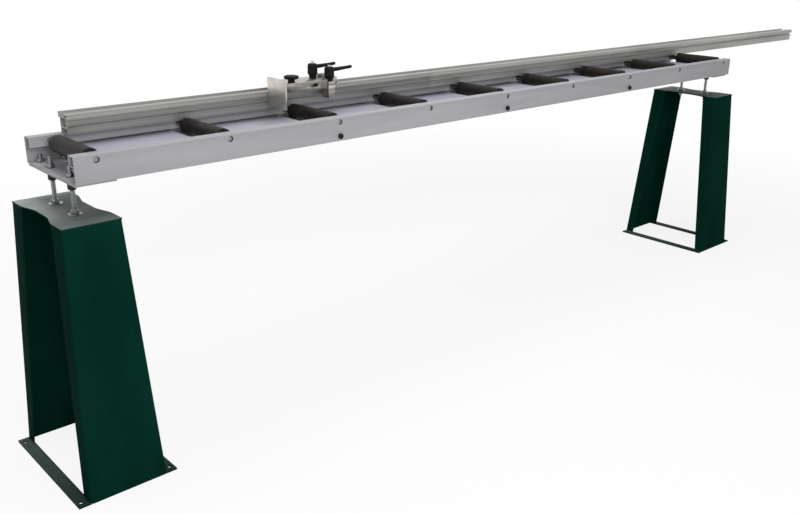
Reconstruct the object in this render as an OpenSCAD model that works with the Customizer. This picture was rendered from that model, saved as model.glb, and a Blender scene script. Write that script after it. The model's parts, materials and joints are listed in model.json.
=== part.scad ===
// Roller table for long bars on two folded stands, with a guide rail and a sliding length stop.
// X runs along the table from its near end, Y from the front rail to the back rail, Z is up.
// The solids are worked out with X and Y from the near front corner of the table, then moved so
// that the origin lies on the floor under the middle of the whole stand.

/* [Table] */
// Length of the two side rails
table_length = 3000; // [1500:50:6000]
// Width over the outer faces of the side rails
table_width = 300; // [280:5:400]
// Floor to the top of the side rails
table_height = 870; // [700:10:1100]

/* [Side rails] */
// Height of a side rail
rail_h = 68; // [66:1:110]
// Width of the hollow chamber along the top of a rail
chamber_w = 30; // [24:1:31]
// Height of that chamber
chamber_h = 27; // [26:0.5:29]
// Wall of the side rails
rail_wall = 3; // [2.5:0.5:5]
// Radius of a rail's upper outer edge
rail_edge_r = 2; // [0.5:0.5:2]
// Height of the open groove between a cover sheet and the chamber
groove_h = 3; // [1:0.5:4]
// Width of the ledge that carries the cover sheets, from the rail's outer face
ledge_w = 18; // [10:1:24]
// Thickness of that ledge
ledge_t = 2.5; // [1.5:0.5:3]
// Width of the foot flange that the end plates are bolted to
foot_w = 72; // [70:1:75]

/* [Covers] */
// Thickness of the cover sheets
cover_t = 2; // [1:0.5:3]
// Gap between a cover sheet's side and the rail's web
cover_side_gap = 0.5; // [0.3:0.1:0.9]
// Gap along the table between a roller's side and the cover sheet's end
cover_roller_gap = 5.5; // [3:0.5:12]
// Length of the oblong hole in the covers that lie over a cross tie's near side
cover_slot_l = 12; // [8:1:20]
// Width of that hole
cover_slot_w = 5; // [3:0.5:8]
// Distance of that hole from the next roller's axis
cover_slot_back = 45; // [38:1:80]
// Distance of that hole from the front rail's outer face
cover_slot_y = 170; // [80:5:200]

/* [Rollers] */
// Number of rollers
roller_count = 9; // [4:1:13]
// Diameter of a roller
roller_d = 45; // [40:1:48]
// Height of the rollers' crown above the side rails
roller_rise = 8.5; // [6:0.5:10]
// Wall of the roller tube
roller_wall = 3; // [2:0.5:4]
// Distance from the table's ends to the first and last roller's axis
roller_margin = 55; // [55:1:120]
// Gap between a roller's front end and the front rail
roller_front_gap = 3; // [1:0.5:8]
// Gap between a roller's back end and the front of the guide rail
roller_guide_gap = 5; // [2:0.5:10]
// Chamfer on a roller's rim
roller_chamfer = 1; // [0.5:0.5:2]
// Diameter of a roller axle
axle_d = 12; // [8:0.5:12]
// Depth of an axle's end below the rail's outer face
axle_recess = 4; // [3.5:0.5:8]
// Diameter of the access hole in front of an axle's end
axle_hole_d = 16; // [14:0.5:18]
// Outer diameter of a roller bearing
bearing_d = 28; // [24:1:30]
// Width of a roller bearing
bearing_w = 8; // [6:0.5:12]
// Outer diameter of the spacer sleeves on an axle
spacer_d = 18; // [15:0.5:20]

/* [Cross ties] */
// Diameter of a cross tie
tie_d = 20; // [16:1:22]
// Height of a cross tie's axis above the bottom of the rails
tie_rise = 14; // [14:0.5:16]
// Diameter of a tie screw's head
tie_head_d = 16; // [13:0.5:18]
// Height of a tie screw's head
tie_head_h = 6; // [3:0.5:10]
// Diameter of a tie screw's shank
tie_screw_d = 8; // [6:0.5:10]
// Depth of a tie screw in its tie
tie_screw_depth = 22; // [12:1:30]
// Width across the flats of a screw's socket
tie_socket_w = 6; // [4:0.5:8]

/* [Adapter plates] */
// Length of an adapter plate along the table
plate_l = 103; // [100:1:160]
// Thickness of an adapter plate
plate_t = 6; // [4:0.5:12]
// Distance from the rails' outer faces to the plate's edges
plate_inset = 8; // [4:0.5:20]
// Distance from the table's far end to the far plate
plate_far_setback = 12; // [6:0.5:13]
// Distance from a rail's outer face to the plate bolts
plate_bolt_y = 25; // [20:0.5:30]
// Distance from the table's end to the first plate bolts
plate_bolt_x = 25; // [23:0.5:26]
// Distance between two plate bolts along the table
plate_bolt_pitch = 60; // [40:1:65]
// Diameter of a plate bolt
plate_bolt_d = 10; // [6:0.5:10]
// Width across the flats of a plate bolt's head and nut
plate_bolt_af = 17; // [13:0.5:17]
// Height of a plate bolt's head and nut
plate_bolt_h = 8; // [4:0.5:9]
// Length of a plate bolt past its nut
plate_bolt_over = 12; // [2:0.5:14]
// Diameter of their countersunk heads, flush with the plate's underside
sink_d = 19; // [16:0.5:22]
// Depth of those heads
sink_h = 5; // [3:0.5:5]

/* [Levelling rods] */
// Distance from the table's ends to the rods
rod_x = 25; // [23:0.5:26]
// Distance across the table from the plate bolts in to the rods
rod_in = 65; // [62:1:68]
// Diameter of a rod
rod_d = 12; // [8:0.5:12]
// Height from a stand's top to the adapter plate above it
stand_gap = 88; // [70:1:110]
// Length of a rod above its upper lock nut
rod_over = 19; // [13:0.5:22]
// Length of a rod below its lowest nut
rod_under = 8; // [2:0.5:20]
// Width across the flats of the rod nuts
rod_nut_af = 19; // [17:0.5:20]
// Height of the rod nuts
rod_nut_h = 10; // [6:0.5:12]
// Height of the long nuts under the adapter plates
long_nut_h = 25; // [10:1:36]
// Diameter of the washers on a stand's top
washer_d = 36; // [26:1:44]
// Thickness of those washers
washer_t = 2.5; // [1.5:0.5:4]

/* [Stands] */
// Length of a stand's top plate across the table
top_l = 315; // [300:5:400]
// Width of a stand's top plate along the table
top_w = 150; // [130:5:200]
// Thickness of a stand's top plate
top_t = 5; // [3:0.5:8]
// Depth of the waist on each side of the top plate
waist_depth = 14; // [6:1:24]
// Half length of the waist's narrowest stretch
waist_flat = 30; // [20:1:40]
// Length of the curve from the waist to the full width
waist_run = 75; // [50:1:90]
// Thickness of the legs' folded sheet
sheet_t = 4; // [2:0.5:6]
// Width of a leg at the floor, along the table
leg_foot_w = 212; // [180:2:230]
// Length of a stand at the floor, across the table
base_l = 416; // [380:4:500]
// Depth of a leg's folded flanges under the top plate
flange_top = 61.5; // [45:0.5:66]
// Depth of a leg's folded flanges at the floor
flange_foot = 38; // [28:1:60]
// Width of a stand over its two base strips, along the table
base_w = 270; // [256:2:320]
// Thickness of the base strips
base_t = 5; // [3:0.5:10]
// Distance between the floor bolt holes, along the table
anchor_dx = 245; // [238:1:248]
// Distance between the floor bolt holes, across the table
anchor_dy = 376; // [340:1:390]
// Diameter of the floor bolt holes
anchor_d = 10.5; // [6:0.5:13]

/* [Guide rail] */
// Length of the guide rail
guide_length = 4000; // [2000:50:6000]
// Distance from the table's near end to the guide rail's near end
guide_start = 88; // [20:1:150]
// Distance from the back rail's outer face to the front of the guide's head
guide_back = 68; // [62:1:72]
// Depth of the guide's head, front to back
head_d = 58; // [54:1:62]
// Setback of the guide's foot behind the front of its head
foot_setback = 7; // [6:0.5:8]
// Depth of the guide's foot, front to back
foot_d = 41; // [40:0.5:42]
// Height of the guide rail without the rib on its top
guide_h = 52; // [51:0.5:58]
// Height of the guide's foot below its undercut
guide_foot_h = 18; // [14:0.5:19]
// Wall of the guide rail
guide_wall = 3; // [2:0.5:3]
// Height of the slot's mouth in the front of the guide
slot_h = 11; // [9:0.5:12]
// Height of the slot's middle above the guide's foot
slot_z = 32.5; // [32:0.5:34]
// Thickness of the slot's lips
slot_lip = 4; // [3:0.5:4.5]
// Depth of the slot behind its lips
slot_back = 6; // [5:0.5:8]
// Height of the slot behind its lips
slot_inner_h = 17; // [14:0.5:18]
// Height of the rib along the guide's upper back edge
rib_h = 2.5; // [1:0.5:4]
// Width of that rib
rib_w = 3; // [2:0.5:5]
// Depth of the open channel in front of that rib
channel_depth = 8; // [4:0.5:8]
// Width of that channel
channel_w = 28; // [20:1:30]
// Length of the guide's near piece, where the guide is joined
near_guide_l = 1278; // [900:1:1900]
// Setback of the front face's upper band
band_back = 1; // [0.5:0.5:1.5]
// Height of that upper band
band_h = 8; // [5:0.5:9]

/* [Guide brackets] */
// Length of a bracket behind the guide rail
bracket_l = 60; // [40:1:90]
// Height of a bracket
bracket_h = 17; // [15:0.5:17]
// Thickness of a bracket
bracket_t = 4; // [3:0.5:5]
// Diameter of the bracket screws
bracket_screw_d = 5; // [4:0.5:5]
// Diameter of their heads
bracket_head_d = 8; // [7:0.5:9]
// Height of their heads
bracket_head_h = 4; // [2:0.5:5]

/* [Length stop] */
// Distance from the table's near end to the saddle's near face
stop_x = 700; // [300:1:2500]
// Length of the saddle along the guide
saddle_l = 249; // [245:1:320]
// Height of the saddle above the guide's top
saddle_h = 22; // [20:0.5:30]
// Setback of the saddle's part over the guide behind its near face
saddle_step = 35; // [20:1:40]
// Depth of the saddle's front block, from its front face to the guide
block_d = 32; // [30:0.5:40]
// Length of that front block
block_l = 188; // [185:1:189]
// Height that the front block reaches below the guide's top
block_drop = 4; // [3:0.5:8]
// Running gap between the saddle and the guide
slide_gap = 0.3; // [0.2:0.05:0.4]
// Thickness of the stop plate
stop_t = 5; // [3:0.5:8]
// Gap between the stop plate and the saddle
stop_gap = 7; // [3:0.5:9]
// Width of the stop plate, front to back
stop_w = 92; // [70:1:120]
// Height of the stop plate's lower edge above the rollers' crown
stop_clear = 1.5; // [1:0.5:4]
// Height of the stop plate
stop_h = 86; // [80:1:100]
// Gap between the stop plate's back edge and the guide's front face
stop_guide_gap = 3; // [2.5:0.5:5]
// Width and height of the square bar behind the stop plate
bar_w = 12; // [8:0.5:12]
// Length of that bar
bar_l = 153; // [145:1:170]
// Distance from the saddle's front face to the bar's and the knob's middle
bar_y = 20; // [19:0.5:20]
// Gap around the bar in its channel
bar_gap = 0.3; // [0.2:0.05:0.4]
// Distance from the saddle's near face to the reading window's middle
window_x = 138; // [128:1:150]
// Length of the reading window
window_l = 32; // [20:1:40]
// Height of the reading window
window_h = 10; // [6:0.5:11]

/* [Clamps] */
// Distance from the saddle's near face to the knob's axis
knob_x = 68; // [40:1:100]
// Diameter of the knob's head
knob_d = 45; // [38:1:50]
// Height of the knob's head
knob_h = 10; // [8:0.5:20]
// Diameter of the knob's neck
knob_neck_d = 21; // [16:0.5:24]
// Height of the knob's neck
knob_neck_h = 10; // [6:0.5:12]
// Number of grip flutes round the knob
knob_flutes = 12; // [8:1:16]
// Distance from the saddle's near face to the rear lever's axis
lever_a_x = 173; // [165:1:174]
// Distance from the guide's front face to the rear lever's axis
lever_a_y = 23; // [18:0.5:28]
// Distance from the saddle's near face to the front lever's axis
lever_b_x = 206; // [205:1:218]
// Distance from the guide's front face forward to the front lever's axis
lever_b_y = 18; // [16:0.5:20]
// Height of a lever's hub
hub_h = 44; // [38:0.5:50]
// Diameter of a lever's hub
hub_d = 32; // [26:0.5:33]
// Diameter of a lever's neck
hub_neck_d = 22; // [16:0.5:23]
// Length of a lever from its axis to its tip
lever_l = 90; // [80:1:110]
// Thickness of a lever's arm at the hub
arm_root = 11; // [8:0.5:13]
// Thickness of a lever's arm at its tip
arm_tip = 8; // [5:0.5:10]
// Rise of a lever's arm from hub to tip
arm_rise = 5; // [0:0.5:10]
// Diameter of the clamping studs
stud_d = 8; // [6:0.5:9]
// Diameter of a stud's head on top of its lever
stud_head_d = 10; // [9:0.5:14]
// Height of the stud's head on the rear lever
stud_head_a = 7.5; // [4:0.5:10]
// Height of the stud's head on the front lever
stud_head_b = 4.5; // [3:0.5:5]
// Width of the saddle's square ear round the front stud
ear_w = 26; // [22:0.5:27]
// Height of that ear
ear_h = 12; // [8:0.5:14]
// Depth of the ear's top below the saddle's top
ear_down = 8; // [4:0.5:10]
// Length of the clamp jaw along the guide
jaw_l = 26; // [22:1:34]
// Height of the clamp jaw
jaw_h = 21; // [18:0.5:21.5]
// Distance from the saddle's near face to the index block's middle
index_x = 207; // [206:1:214]
// Width of the index block along the guide
index_w = 30; // [20:0.5:31]
// Depth of the index block, front to back
index_d = 15; // [10:0.5:20]
// Height of the index block
index_h = 11; // [8:0.5:14]
// Radius of the index block's upper edges
index_r = 4; // [1:0.5:6]

/* [Hidden] */
// Radial running clearance of bearings and studs
run_gap = 0.05;
// Radial gap of screws and rods in plain holes
hole_gap = 0.5;
// Overrun of cuts past a face
over = 1;
// Sides of round solids
$fn = 64;
// Sides of the round ends in the lever arms
arm_fn = 24;
// Steps of each waist curve
waist_steps = 14;

// Heights of the table
rail_bottom = table_height - rail_h;
chamber_bottom = table_height - chamber_h;
cover_top = chamber_bottom - groove_h;
cover_bottom = cover_top - cover_t;
roller_top = table_height + roller_rise;
roller_z = roller_top - roller_d / 2;
tie_z = rail_bottom + tie_rise;
plate_bottom = rail_bottom - plate_t;
stand_h = plate_bottom - stand_gap;
leg_h = stand_h - top_t;

// Places along the table
roller_pitch = (table_length - 2 * roller_margin) / (roller_count - 1);
tie_rollers = [for (k = [3:2:roller_count - 2]) k];
cover_end_gap = roller_d / 2 + cover_roller_gap;
rod_xs = [rod_x, table_length - rod_x];
plate_xs = [0, table_length - plate_far_setback - plate_l];
near_stand_x = rod_xs[0];
far_stand_x = rod_xs[1];

// Places across the table
mid_y = table_width / 2;
guide_front = table_width - guide_back;
guide_foot_front = guide_front + foot_setback;
guide_foot_back = guide_foot_front + foot_d;
guide_head_back = guide_front + head_d;
channel_front = guide_head_back - rib_w - channel_w;
roller_y = chamber_w + roller_front_gap;
roller_l = guide_front - roller_guide_gap - roller_y;
rod_y = plate_bolt_y + rod_in;
rod_ys = [rod_y, table_width - rod_y];

// Heights of the guide and the stop
guide_top = table_height + guide_h;
channel_floor = guide_top - channel_depth;
slot_mid = table_height + slot_z;
saddle_bottom = guide_top + slide_gap;
saddle_top = guide_top + saddle_h;
block_bottom = guide_top - block_drop;
saddle_front = guide_front - block_d;
bar_mid_y = saddle_front + bar_y;
bar_mid_z = (block_bottom + saddle_top) / 2 - slide_gap;
stop_bottom = roller_top + stop_clear;
ear_top = saddle_top - ear_down;
ear_bottom = ear_top - ear_h;
jaw_top = slot_mid + slot_h / 2 - over;
lever_a_pos = [stop_x + lever_a_x, guide_front + lever_a_y];
lever_b_pos = [stop_x + lever_b_x, guide_front - lever_b_y];
knob_pos = [stop_x + knob_x, bar_mid_y];

// The origin is under the middle of the whole stand
left_end = near_stand_x - base_w / 2;
right_end = max(guide_start + guide_length, far_stand_x + base_w / 2);
origin_x = (left_end + right_end) / 2;

function roller_x(k) = roller_margin + (k - 1) * roller_pitch;

// Half width of a stand's top plate at a distance from its middle
function waist_half(y) =
    let (t = max(0, min(1, (abs(y) - waist_flat) / waist_run)))
    top_w / 2 - waist_depth * (1 + cos(180 * t)) / 2;

// Moves a solid from the table's corner to the part's origin
module placed() {
    translate([-origin_x, -mid_y, 0]) children();
}

// Turns a profile drawn in Y and Z into a bar along X
module along_x(x, length) {
    translate([x, 0, 0])
        rotate([90, 0, 90])
            linear_extrude(length) children();
}

// A round bar along Y
module along_y(x, y, z, length, d) {
    translate([x, y, z])
        rotate([-90, 0, 0])
            cylinder(h = length, d = d);
}

// Mirrors a solid of the front side to the back side
module to_back() {
    translate([0, table_width, 0])
        mirror([0, 1, 0]) children();
}

// A hexagonal nut or head, flats facing along X
module hexagon(x, y, z, af, h) {
    translate([x, y, z])
        rotate([0, 0, 30])
            cylinder(h = h, d = af / cos(30), $fn = 6);
}

module hex_nut(x, y, z, af, h, bore) {
    difference() {
        hexagon(x, y, z, af, h);
        translate([x, y, z - over]) cylinder(h = h + 2 * over, d = bore);
    }
}

// Section of the front rail in Y and Z
module rail_profile() {
    difference() {
        union() {
            translate([rail_edge_r, chamber_bottom])
                square([chamber_w - rail_edge_r, chamber_h]);
            translate([0, chamber_bottom])
                square([chamber_w, chamber_h - rail_edge_r]);
            translate([rail_edge_r, table_height - rail_edge_r])
                circle(r = rail_edge_r);
            translate([0, rail_bottom])
                square([rail_wall, rail_h - rail_edge_r]);
            translate([0, cover_bottom - ledge_t])
                square([ledge_w, ledge_t]);
            translate([0, rail_bottom])
                square([foot_w, rail_wall]);
        }
        translate([rail_wall, chamber_bottom + rail_wall])
            square([chamber_w - 2 * rail_wall, chamber_h - 2 * rail_wall]);
    }
}

module rail() {
    difference() {
        along_x(0, table_length) rail_profile();
        for (k = [1:roller_count]) {
            along_y(roller_x(k), -over, roller_z, rail_wall + 2 * over, axle_hole_d);
            along_y(roller_x(k), rail_wall + over, roller_z, chamber_w, axle_d + 2 * run_gap);
        }
        for (k = tie_rollers)
            along_y(roller_x(k), -over, tie_z, rail_wall + 2 * over, tie_screw_d + 2 * hole_gap);
        for (x = plate_bolt_xs)
            translate([x, plate_bolt_y, rail_bottom - over])
                cylinder(h = rail_wall + 2 * over, d = plate_bolt_d + 2 * hole_gap);
    }
}

plate_bolt_xs = [for (end = [0, 1]) for (i = [0, 1])
    (end == 0 ? plate_bolt_x + i * plate_bolt_pitch
        : table_length - plate_bolt_x - i * plate_bolt_pitch)];

module front_rail() {
    color([0.62, 0.62, 0.64]) placed() rail();
}

module back_rail() {
    color([0.62, 0.62, 0.64]) placed()
        difference() {
            to_back() rail();
            for (x = bracket_xs)
                translate([x, bracket_screw_y, table_height - rail_wall - over])
                    cylinder(h = rail_wall + 2 * over, d = bracket_screw_d + 2 * run_gap);
        }
}

module cover(k) {
    start = roller_x(k) + cover_end_gap;
    length = roller_pitch - 2 * cover_end_gap;
    side = rail_wall + cover_side_gap;
    color([0.74, 0.74, 0.79]) placed()
        difference() {
            translate([start, side, cover_bottom])
                cube([length, table_width - 2 * side, cover_t]);
            if (len(search(k + 1, tie_rollers)) > 0)
                oblong_hole(roller_x(k + 1) - cover_slot_back, cover_slot_y);
        }
}

// An oblong hole through a cover sheet
module oblong_hole(x, y) {
    reach = (cover_slot_l - cover_slot_w) / 2;
    translate([x, y, cover_bottom - over])
        linear_extrude(cover_t + 2 * over) {
            square([2 * reach, cover_slot_w], center = true);
            for (side = [-1, 1]) translate([side * reach, 0]) circle(d = cover_slot_w);
        }
}

// Half section of a roller: radius across, length up, with a bearing seat at each end
module roller_profile() {
    r = roller_d / 2;
    inner = r - roller_wall;
    seat = bearing_d / 2 + run_gap;
    lip = bearing_w + roller_wall;
    bore = axle_d / 2 + hole_gap;
    polygon([
        [seat, 0], [r - roller_chamfer, 0], [r, roller_chamfer],
        [r, roller_l - roller_chamfer], [r - roller_chamfer, roller_l],
        [seat, roller_l], [seat, roller_l - bearing_w], [bore, roller_l - bearing_w],
        [bore, roller_l - lip], [inner, roller_l - lip],
        [inner, lip], [bore, lip], [bore, bearing_w], [seat, bearing_w]
    ]);
}

module roller(k) {
    color([0.13, 0.12, 0.11]) placed()
        translate([roller_x(k), roller_y, roller_z])
            rotate([-90, 0, 0])
                rotate_extrude() roller_profile();
}

module roller_axles() {
    color([0.72, 0.72, 0.7]) placed()
        for (k = [1:roller_count])
            along_y(roller_x(k), axle_recess, roller_z, table_width - 2 * axle_recess, axle_d);
}

// A ring round an axle
module axle_ring(k, y, length, d) {
    difference() {
        along_y(roller_x(k), y, roller_z, length, d);
        along_y(roller_x(k), y - over, roller_z, length + 2 * over, axle_d + 2 * run_gap);
    }
}

module roller_bearings() {
    color([0.6, 0.6, 0.62]) placed()
        for (k = [1:roller_count]) {
            axle_ring(k, roller_y, bearing_w, bearing_d);
            axle_ring(k, roller_y + roller_l - bearing_w, bearing_w, bearing_d);
        }
}

module axle_spacers() {
    back_end = roller_y + roller_l;
    color([0.55, 0.55, 0.55]) placed()
        for (k = [1:roller_count]) {
            axle_ring(k, chamber_w, roller_front_gap, spacer_d);
            axle_ring(k, back_end, table_width - chamber_w - back_end, spacer_d);
        }
}

module cross_ties() {
    color([0.66, 0.66, 0.66]) placed()
        for (k = tie_rollers)
            difference() {
                along_y(roller_x(k), rail_wall, tie_z, table_width - 2 * rail_wall, tie_d);
                tie_screw_bore(k);
                to_back() tie_screw_bore(k);
            }
}

module tie_screw_bore(k) {
    along_y(roller_x(k), rail_wall - over, tie_z, tie_screw_depth + 2 * over,
        tie_screw_d + 2 * run_gap);
}

module tie_screw(k) {
    difference() {
        union() {
            along_y(roller_x(k), -tie_head_h, tie_z, tie_head_h, tie_head_d);
            along_y(roller_x(k), -over, tie_z, rail_wall + tie_screw_depth + over, tie_screw_d);
        }
        translate([roller_x(k), -tie_head_h - over, tie_z])
            rotate([-90, 0, 0])
                cylinder(h = over + tie_head_h / 2, d = tie_socket_w / cos(30), $fn = 6);
    }
}

module tie_screws() {
    color([0.1, 0.1, 0.1]) placed()
        for (k = tie_rollers) {
            tie_screw(k);
            to_back() tie_screw(k);
        }
}

module adapter_plate(end) {
    color([0.62, 0.62, 0.63]) placed()
        difference() {
            translate([plate_xs[end], plate_inset, plate_bottom])
                cube([plate_l, table_width - 2 * plate_inset, plate_t]);
            for (y = rod_ys)
                translate([rod_xs[end], y, plate_bottom - over])
                    cylinder(h = plate_t + 2 * over, d = rod_d + 2 * hole_gap);
            for (i = [0, 1]) for (y = [plate_bolt_y, table_width - plate_bolt_y])
                translate([plate_bolt_xs[2 * end + i], y, plate_bottom]) {
                    translate([0, 0, -over])
                        cylinder(h = plate_t + 2 * over, d = plate_bolt_d + 2 * hole_gap);
                    translate([0, 0, -over]) cylinder(h = over, d = sink_d + 2 * hole_gap);
                    cylinder(h = sink_h, d1 = sink_d + 2 * hole_gap, d2 = plate_bolt_d);
                }
        }
}

// Every place where a bolt joins an adapter plate to a rail's foot flange
module at_plate_bolts() {
    for (x = plate_bolt_xs) for (y = [plate_bolt_y, table_width - plate_bolt_y])
        translate([x, y, 0]) children();
}

module plate_bolts() {
    grip = plate_t + rail_wall + plate_bolt_h + plate_bolt_over;
    color([0.7, 0.7, 0.68]) placed()
        at_plate_bolts() {
            translate([0, 0, plate_bottom]) {
                cylinder(h = sink_h, d1 = sink_d, d2 = plate_bolt_d);
                cylinder(h = grip, d = plate_bolt_d);
            }
        }
}

module plate_bolt_nuts() {
    color([0.7, 0.7, 0.68]) placed()
        at_plate_bolts()
            hex_nut(0, 0, rail_bottom + rail_wall, plate_bolt_af, plate_bolt_h,
                plate_bolt_d + 2 * run_gap);
}

// Lock nuts on top of the adapter plates, which move with the table
module rod_lock_nuts() {
    color([0.68, 0.68, 0.66]) placed()
        for (x = rod_xs) for (y = rod_ys)
            hex_nut(x, y, rail_bottom, rod_nut_af, rod_nut_h, rod_d + 2 * hole_gap);
}

// Long black nuts under the adapter plates, which carry the table
module rod_long_nuts() {
    color([0.1, 0.1, 0.1]) placed()
        for (x = rod_xs) for (y = rod_ys)
            hex_nut(x, y, plate_bottom - long_nut_h, rod_nut_af, long_nut_h, rod_d + 2 * hole_gap);
}

// Outer shape of the guide's section: foot, undercut, head, and the channel and rib on its top
module guide_outline() {
    foot_top = table_height + guide_foot_h;
    polygon([
        [guide_foot_front, table_height],
        [guide_foot_back, table_height],
        [guide_foot_back, channel_floor - guide_wall],
        [guide_head_back, channel_floor - guide_wall],
        [guide_head_back, guide_top + rib_h],
        [guide_head_back - rib_w, guide_top + rib_h],
        [guide_head_back - rib_w, channel_floor],
        [channel_front, channel_floor],
        [channel_front, guide_top],
        [guide_front + band_back, guide_top],
        [guide_front + band_back, guide_top - band_h],
        [guide_front, guide_top - band_h],
        [guide_front, foot_top + foot_setback],
        [guide_foot_front, foot_top]
    ]);
}

// Section of the guide rail with its front slot and three hollow chambers
module guide_profile() {
    foot_top = table_height + guide_foot_h;
    slot_end = guide_front + slot_lip + slot_back;
    hollow_front = slot_end + guide_wall;
    hollow_top = guide_top - guide_wall;
    over_slot = slot_mid + slot_inner_h / 2 + guide_wall;
    difference() {
        guide_outline();
        translate([guide_front - over, slot_mid - slot_h / 2])
            square([slot_lip + 2 * over, slot_h]);
        translate([guide_front + slot_lip, slot_mid - slot_inner_h / 2])
            square([slot_back, slot_inner_h]);
        translate([guide_foot_front + guide_wall, table_height + guide_wall])
            square([foot_d - 2 * guide_wall, guide_foot_h - 2 * guide_wall]);
        translate([hollow_front, foot_top])
            square([guide_foot_back - guide_wall - hollow_front,
                channel_floor - guide_wall - foot_top]);
        translate([guide_front + band_back + guide_wall, over_slot])
            square([channel_front - 2 * guide_wall - guide_front - band_back,
                max(guide_wall / 2, hollow_top - over_slot)]);
    }
}

// One piece of the guide rail, from a place along the table
module guide_piece(start, length) {
    color([0.58, 0.58, 0.56]) placed()
        difference() {
            along_x(start, length) guide_profile();
            for (x = bracket_xs)
                along_y(x, guide_foot_back - guide_wall - over, bracket_screw_z,
                    guide_wall + 2 * over, bracket_screw_d + 2 * run_gap);
        }
}

module near_guide_rail() {
    guide_piece(guide_start, near_guide_l);
}

module far_guide_rail() {
    guide_piece(guide_start + near_guide_l, guide_length - near_guide_l);
}

// Brackets stand behind the guide, half way between rollers
bracket_xs = [for (k = [1:2:roller_count - 1]) roller_x(k) + roller_pitch / 2];
bracket_screw_y = (guide_foot_back + bracket_t + table_width) / 2;
bracket_screw_z = table_height + bracket_t + (bracket_h - bracket_t) / 2;

module guide_brackets() {
    color([0.6, 0.6, 0.6]) placed()
        for (x = bracket_xs)
            difference() {
                translate([x - bracket_l / 2, guide_foot_back, table_height])
                    union() {
                        cube([bracket_l, bracket_t, bracket_h]);
                        cube([bracket_l, table_width - guide_foot_back, bracket_t]);
                    }
                translate([x, bracket_screw_y, table_height - over])
                    cylinder(h = bracket_t + 2 * over, d = bracket_screw_d + 2 * run_gap);
                along_y(x, guide_foot_back - over, bracket_screw_z, bracket_t + 2 * over,
                    bracket_screw_d + 2 * run_gap);
            }
}

module guide_screws() {
    reach = bracket_t + guide_wall;
    color([0.2, 0.2, 0.2]) placed()
        for (x = bracket_xs) {
            translate([x, bracket_screw_y, table_height - rail_wall])
                cylinder(h = rail_wall + bracket_t + over, d = bracket_screw_d);
            translate([x, bracket_screw_y, table_height + bracket_t])
                cylinder(h = bracket_head_h, d = bracket_head_d);
            along_y(x, guide_foot_back - guide_wall, bracket_screw_z, reach + over,
                bracket_screw_d);
            along_y(x, guide_foot_back + bracket_t, bracket_screw_z, bracket_head_h,
                bracket_head_d);
        }
}

// Top plate of a stand, narrowed to a waist on both sides
module top_plate(x) {
    half_l = top_l / 2;
    ys = concat([-half_l],
        [for (i = [0:waist_steps]) -waist_flat - waist_run + waist_run * i / waist_steps],
        [for (i = [0:waist_steps]) waist_flat + waist_run * i / waist_steps],
        [half_l]);
    right = [for (y = ys) [waist_half(y), y]];
    left = [for (i = [len(ys) - 1:-1:0]) [-waist_half(ys[i]), ys[i]]];
    color([0.05, 0.2, 0.16]) placed()
        difference() {
            translate([x, mid_y, stand_h - top_t])
                linear_extrude(top_t) polygon(concat(right, left));
            for (y = rod_ys)
                translate([x, y, leg_h - over])
                    cylinder(h = top_t + 2 * over, d = rod_d + 2 * run_gap);
        }
}

// The tapered wedge that a leg is cut from, shrunk by inset on every folded side
module leg_wedge(inset) {
    intersection() {
        translate([0, mid_y, 0])
            rotate([90, 0, 0])
                linear_extrude(base_l, center = true)
                    polygon([
                        [inset - leg_foot_w / 2, 0],
                        [leg_foot_w / 2 - inset, 0],
                        [top_w / 2 - inset, leg_h],
                        [inset - top_w / 2, leg_h]
                    ]);
        rotate([90, 0, 90])
            linear_extrude(leg_foot_w, center = true)
                polygon([
                    [mid_y - base_l / 2 + inset, 0],
                    [mid_y - base_l / 2 + flange_foot + inset, 0],
                    [mid_y - top_l / 2 + flange_top + inset, leg_h],
                    [mid_y - top_l / 2 + inset, leg_h]
                ]);
    }
}

// The front leg of a stand: a leaning web with a flange folded back along each side
module leg(x) {
    difference() {
        translate([x, 0, 0])
            difference() {
                leg_wedge(0);
                leg_wedge(sheet_t);
            }
        base_strip(x, -1);
        base_strip(x, 1);
    }
}

module front_leg(x) {
    color([0.03, 0.2, 0.16]) placed() leg(x);
}

module back_leg(x) {
    color([0.03, 0.2, 0.16]) placed() to_back() leg(x);
}

// One of the two flat strips that a stand rests on
module base_strip(x, side) {
    inner = leg_foot_w / 2 - sheet_t;
    strip_w = base_w / 2 - inner;
    translate([x + side * (inner + strip_w / 2), mid_y, base_t / 2])
        cube([strip_w, base_l, base_t], center = true);
}

module base_strips(x) {
    color([0.04, 0.17, 0.14]) placed()
        difference() {
            union() {
                base_strip(x, -1);
                base_strip(x, 1);
            }
            for (dx = [-anchor_dx / 2, anchor_dx / 2]) for (dy = [-anchor_dy / 2, anchor_dy / 2])
                translate([x + dx, mid_y + dy, -over])
                    cylinder(h = base_t + 2 * over, d = anchor_d);
        }
}

module rods(x) {
    bottom = leg_h - washer_t - rod_nut_h - rod_under;
    top = rail_bottom + rod_nut_h + rod_over;
    color([0.75, 0.75, 0.73]) placed()
        for (y = rod_ys)
            translate([x, y, bottom]) cylinder(h = top - bottom, d = rod_d);
}

module rod_nuts(x) {
    bore = rod_d + 2 * run_gap;
    color([0.75, 0.75, 0.73]) placed()
        for (y = rod_ys) {
            hex_nut(x, y, stand_h + washer_t, rod_nut_af, rod_nut_h, bore);
            hex_nut(x, y, leg_h - washer_t - rod_nut_h, rod_nut_af, rod_nut_h, bore);
        }
}

module rod_washers(x) {
    color([0.78, 0.78, 0.76]) placed()
        for (y = rod_ys) for (z = [stand_h, leg_h - washer_t])
            translate([x, y, z])
                difference() {
                    cylinder(h = washer_t, d = washer_d);
                    translate([0, 0, -over])
                        cylinder(h = washer_t + 2 * over, d = rod_d + 2 * run_gap);
                }
}

// Channel in the saddle's front block that the stop's bar slides in
module bar_channel() {
    w = bar_w + 2 * bar_gap;
    translate([stop_x - over, bar_mid_y - w / 2, bar_mid_z - w / 2])
        cube([bar_l + over + bar_channel_spare, w, w]);
}

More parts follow.
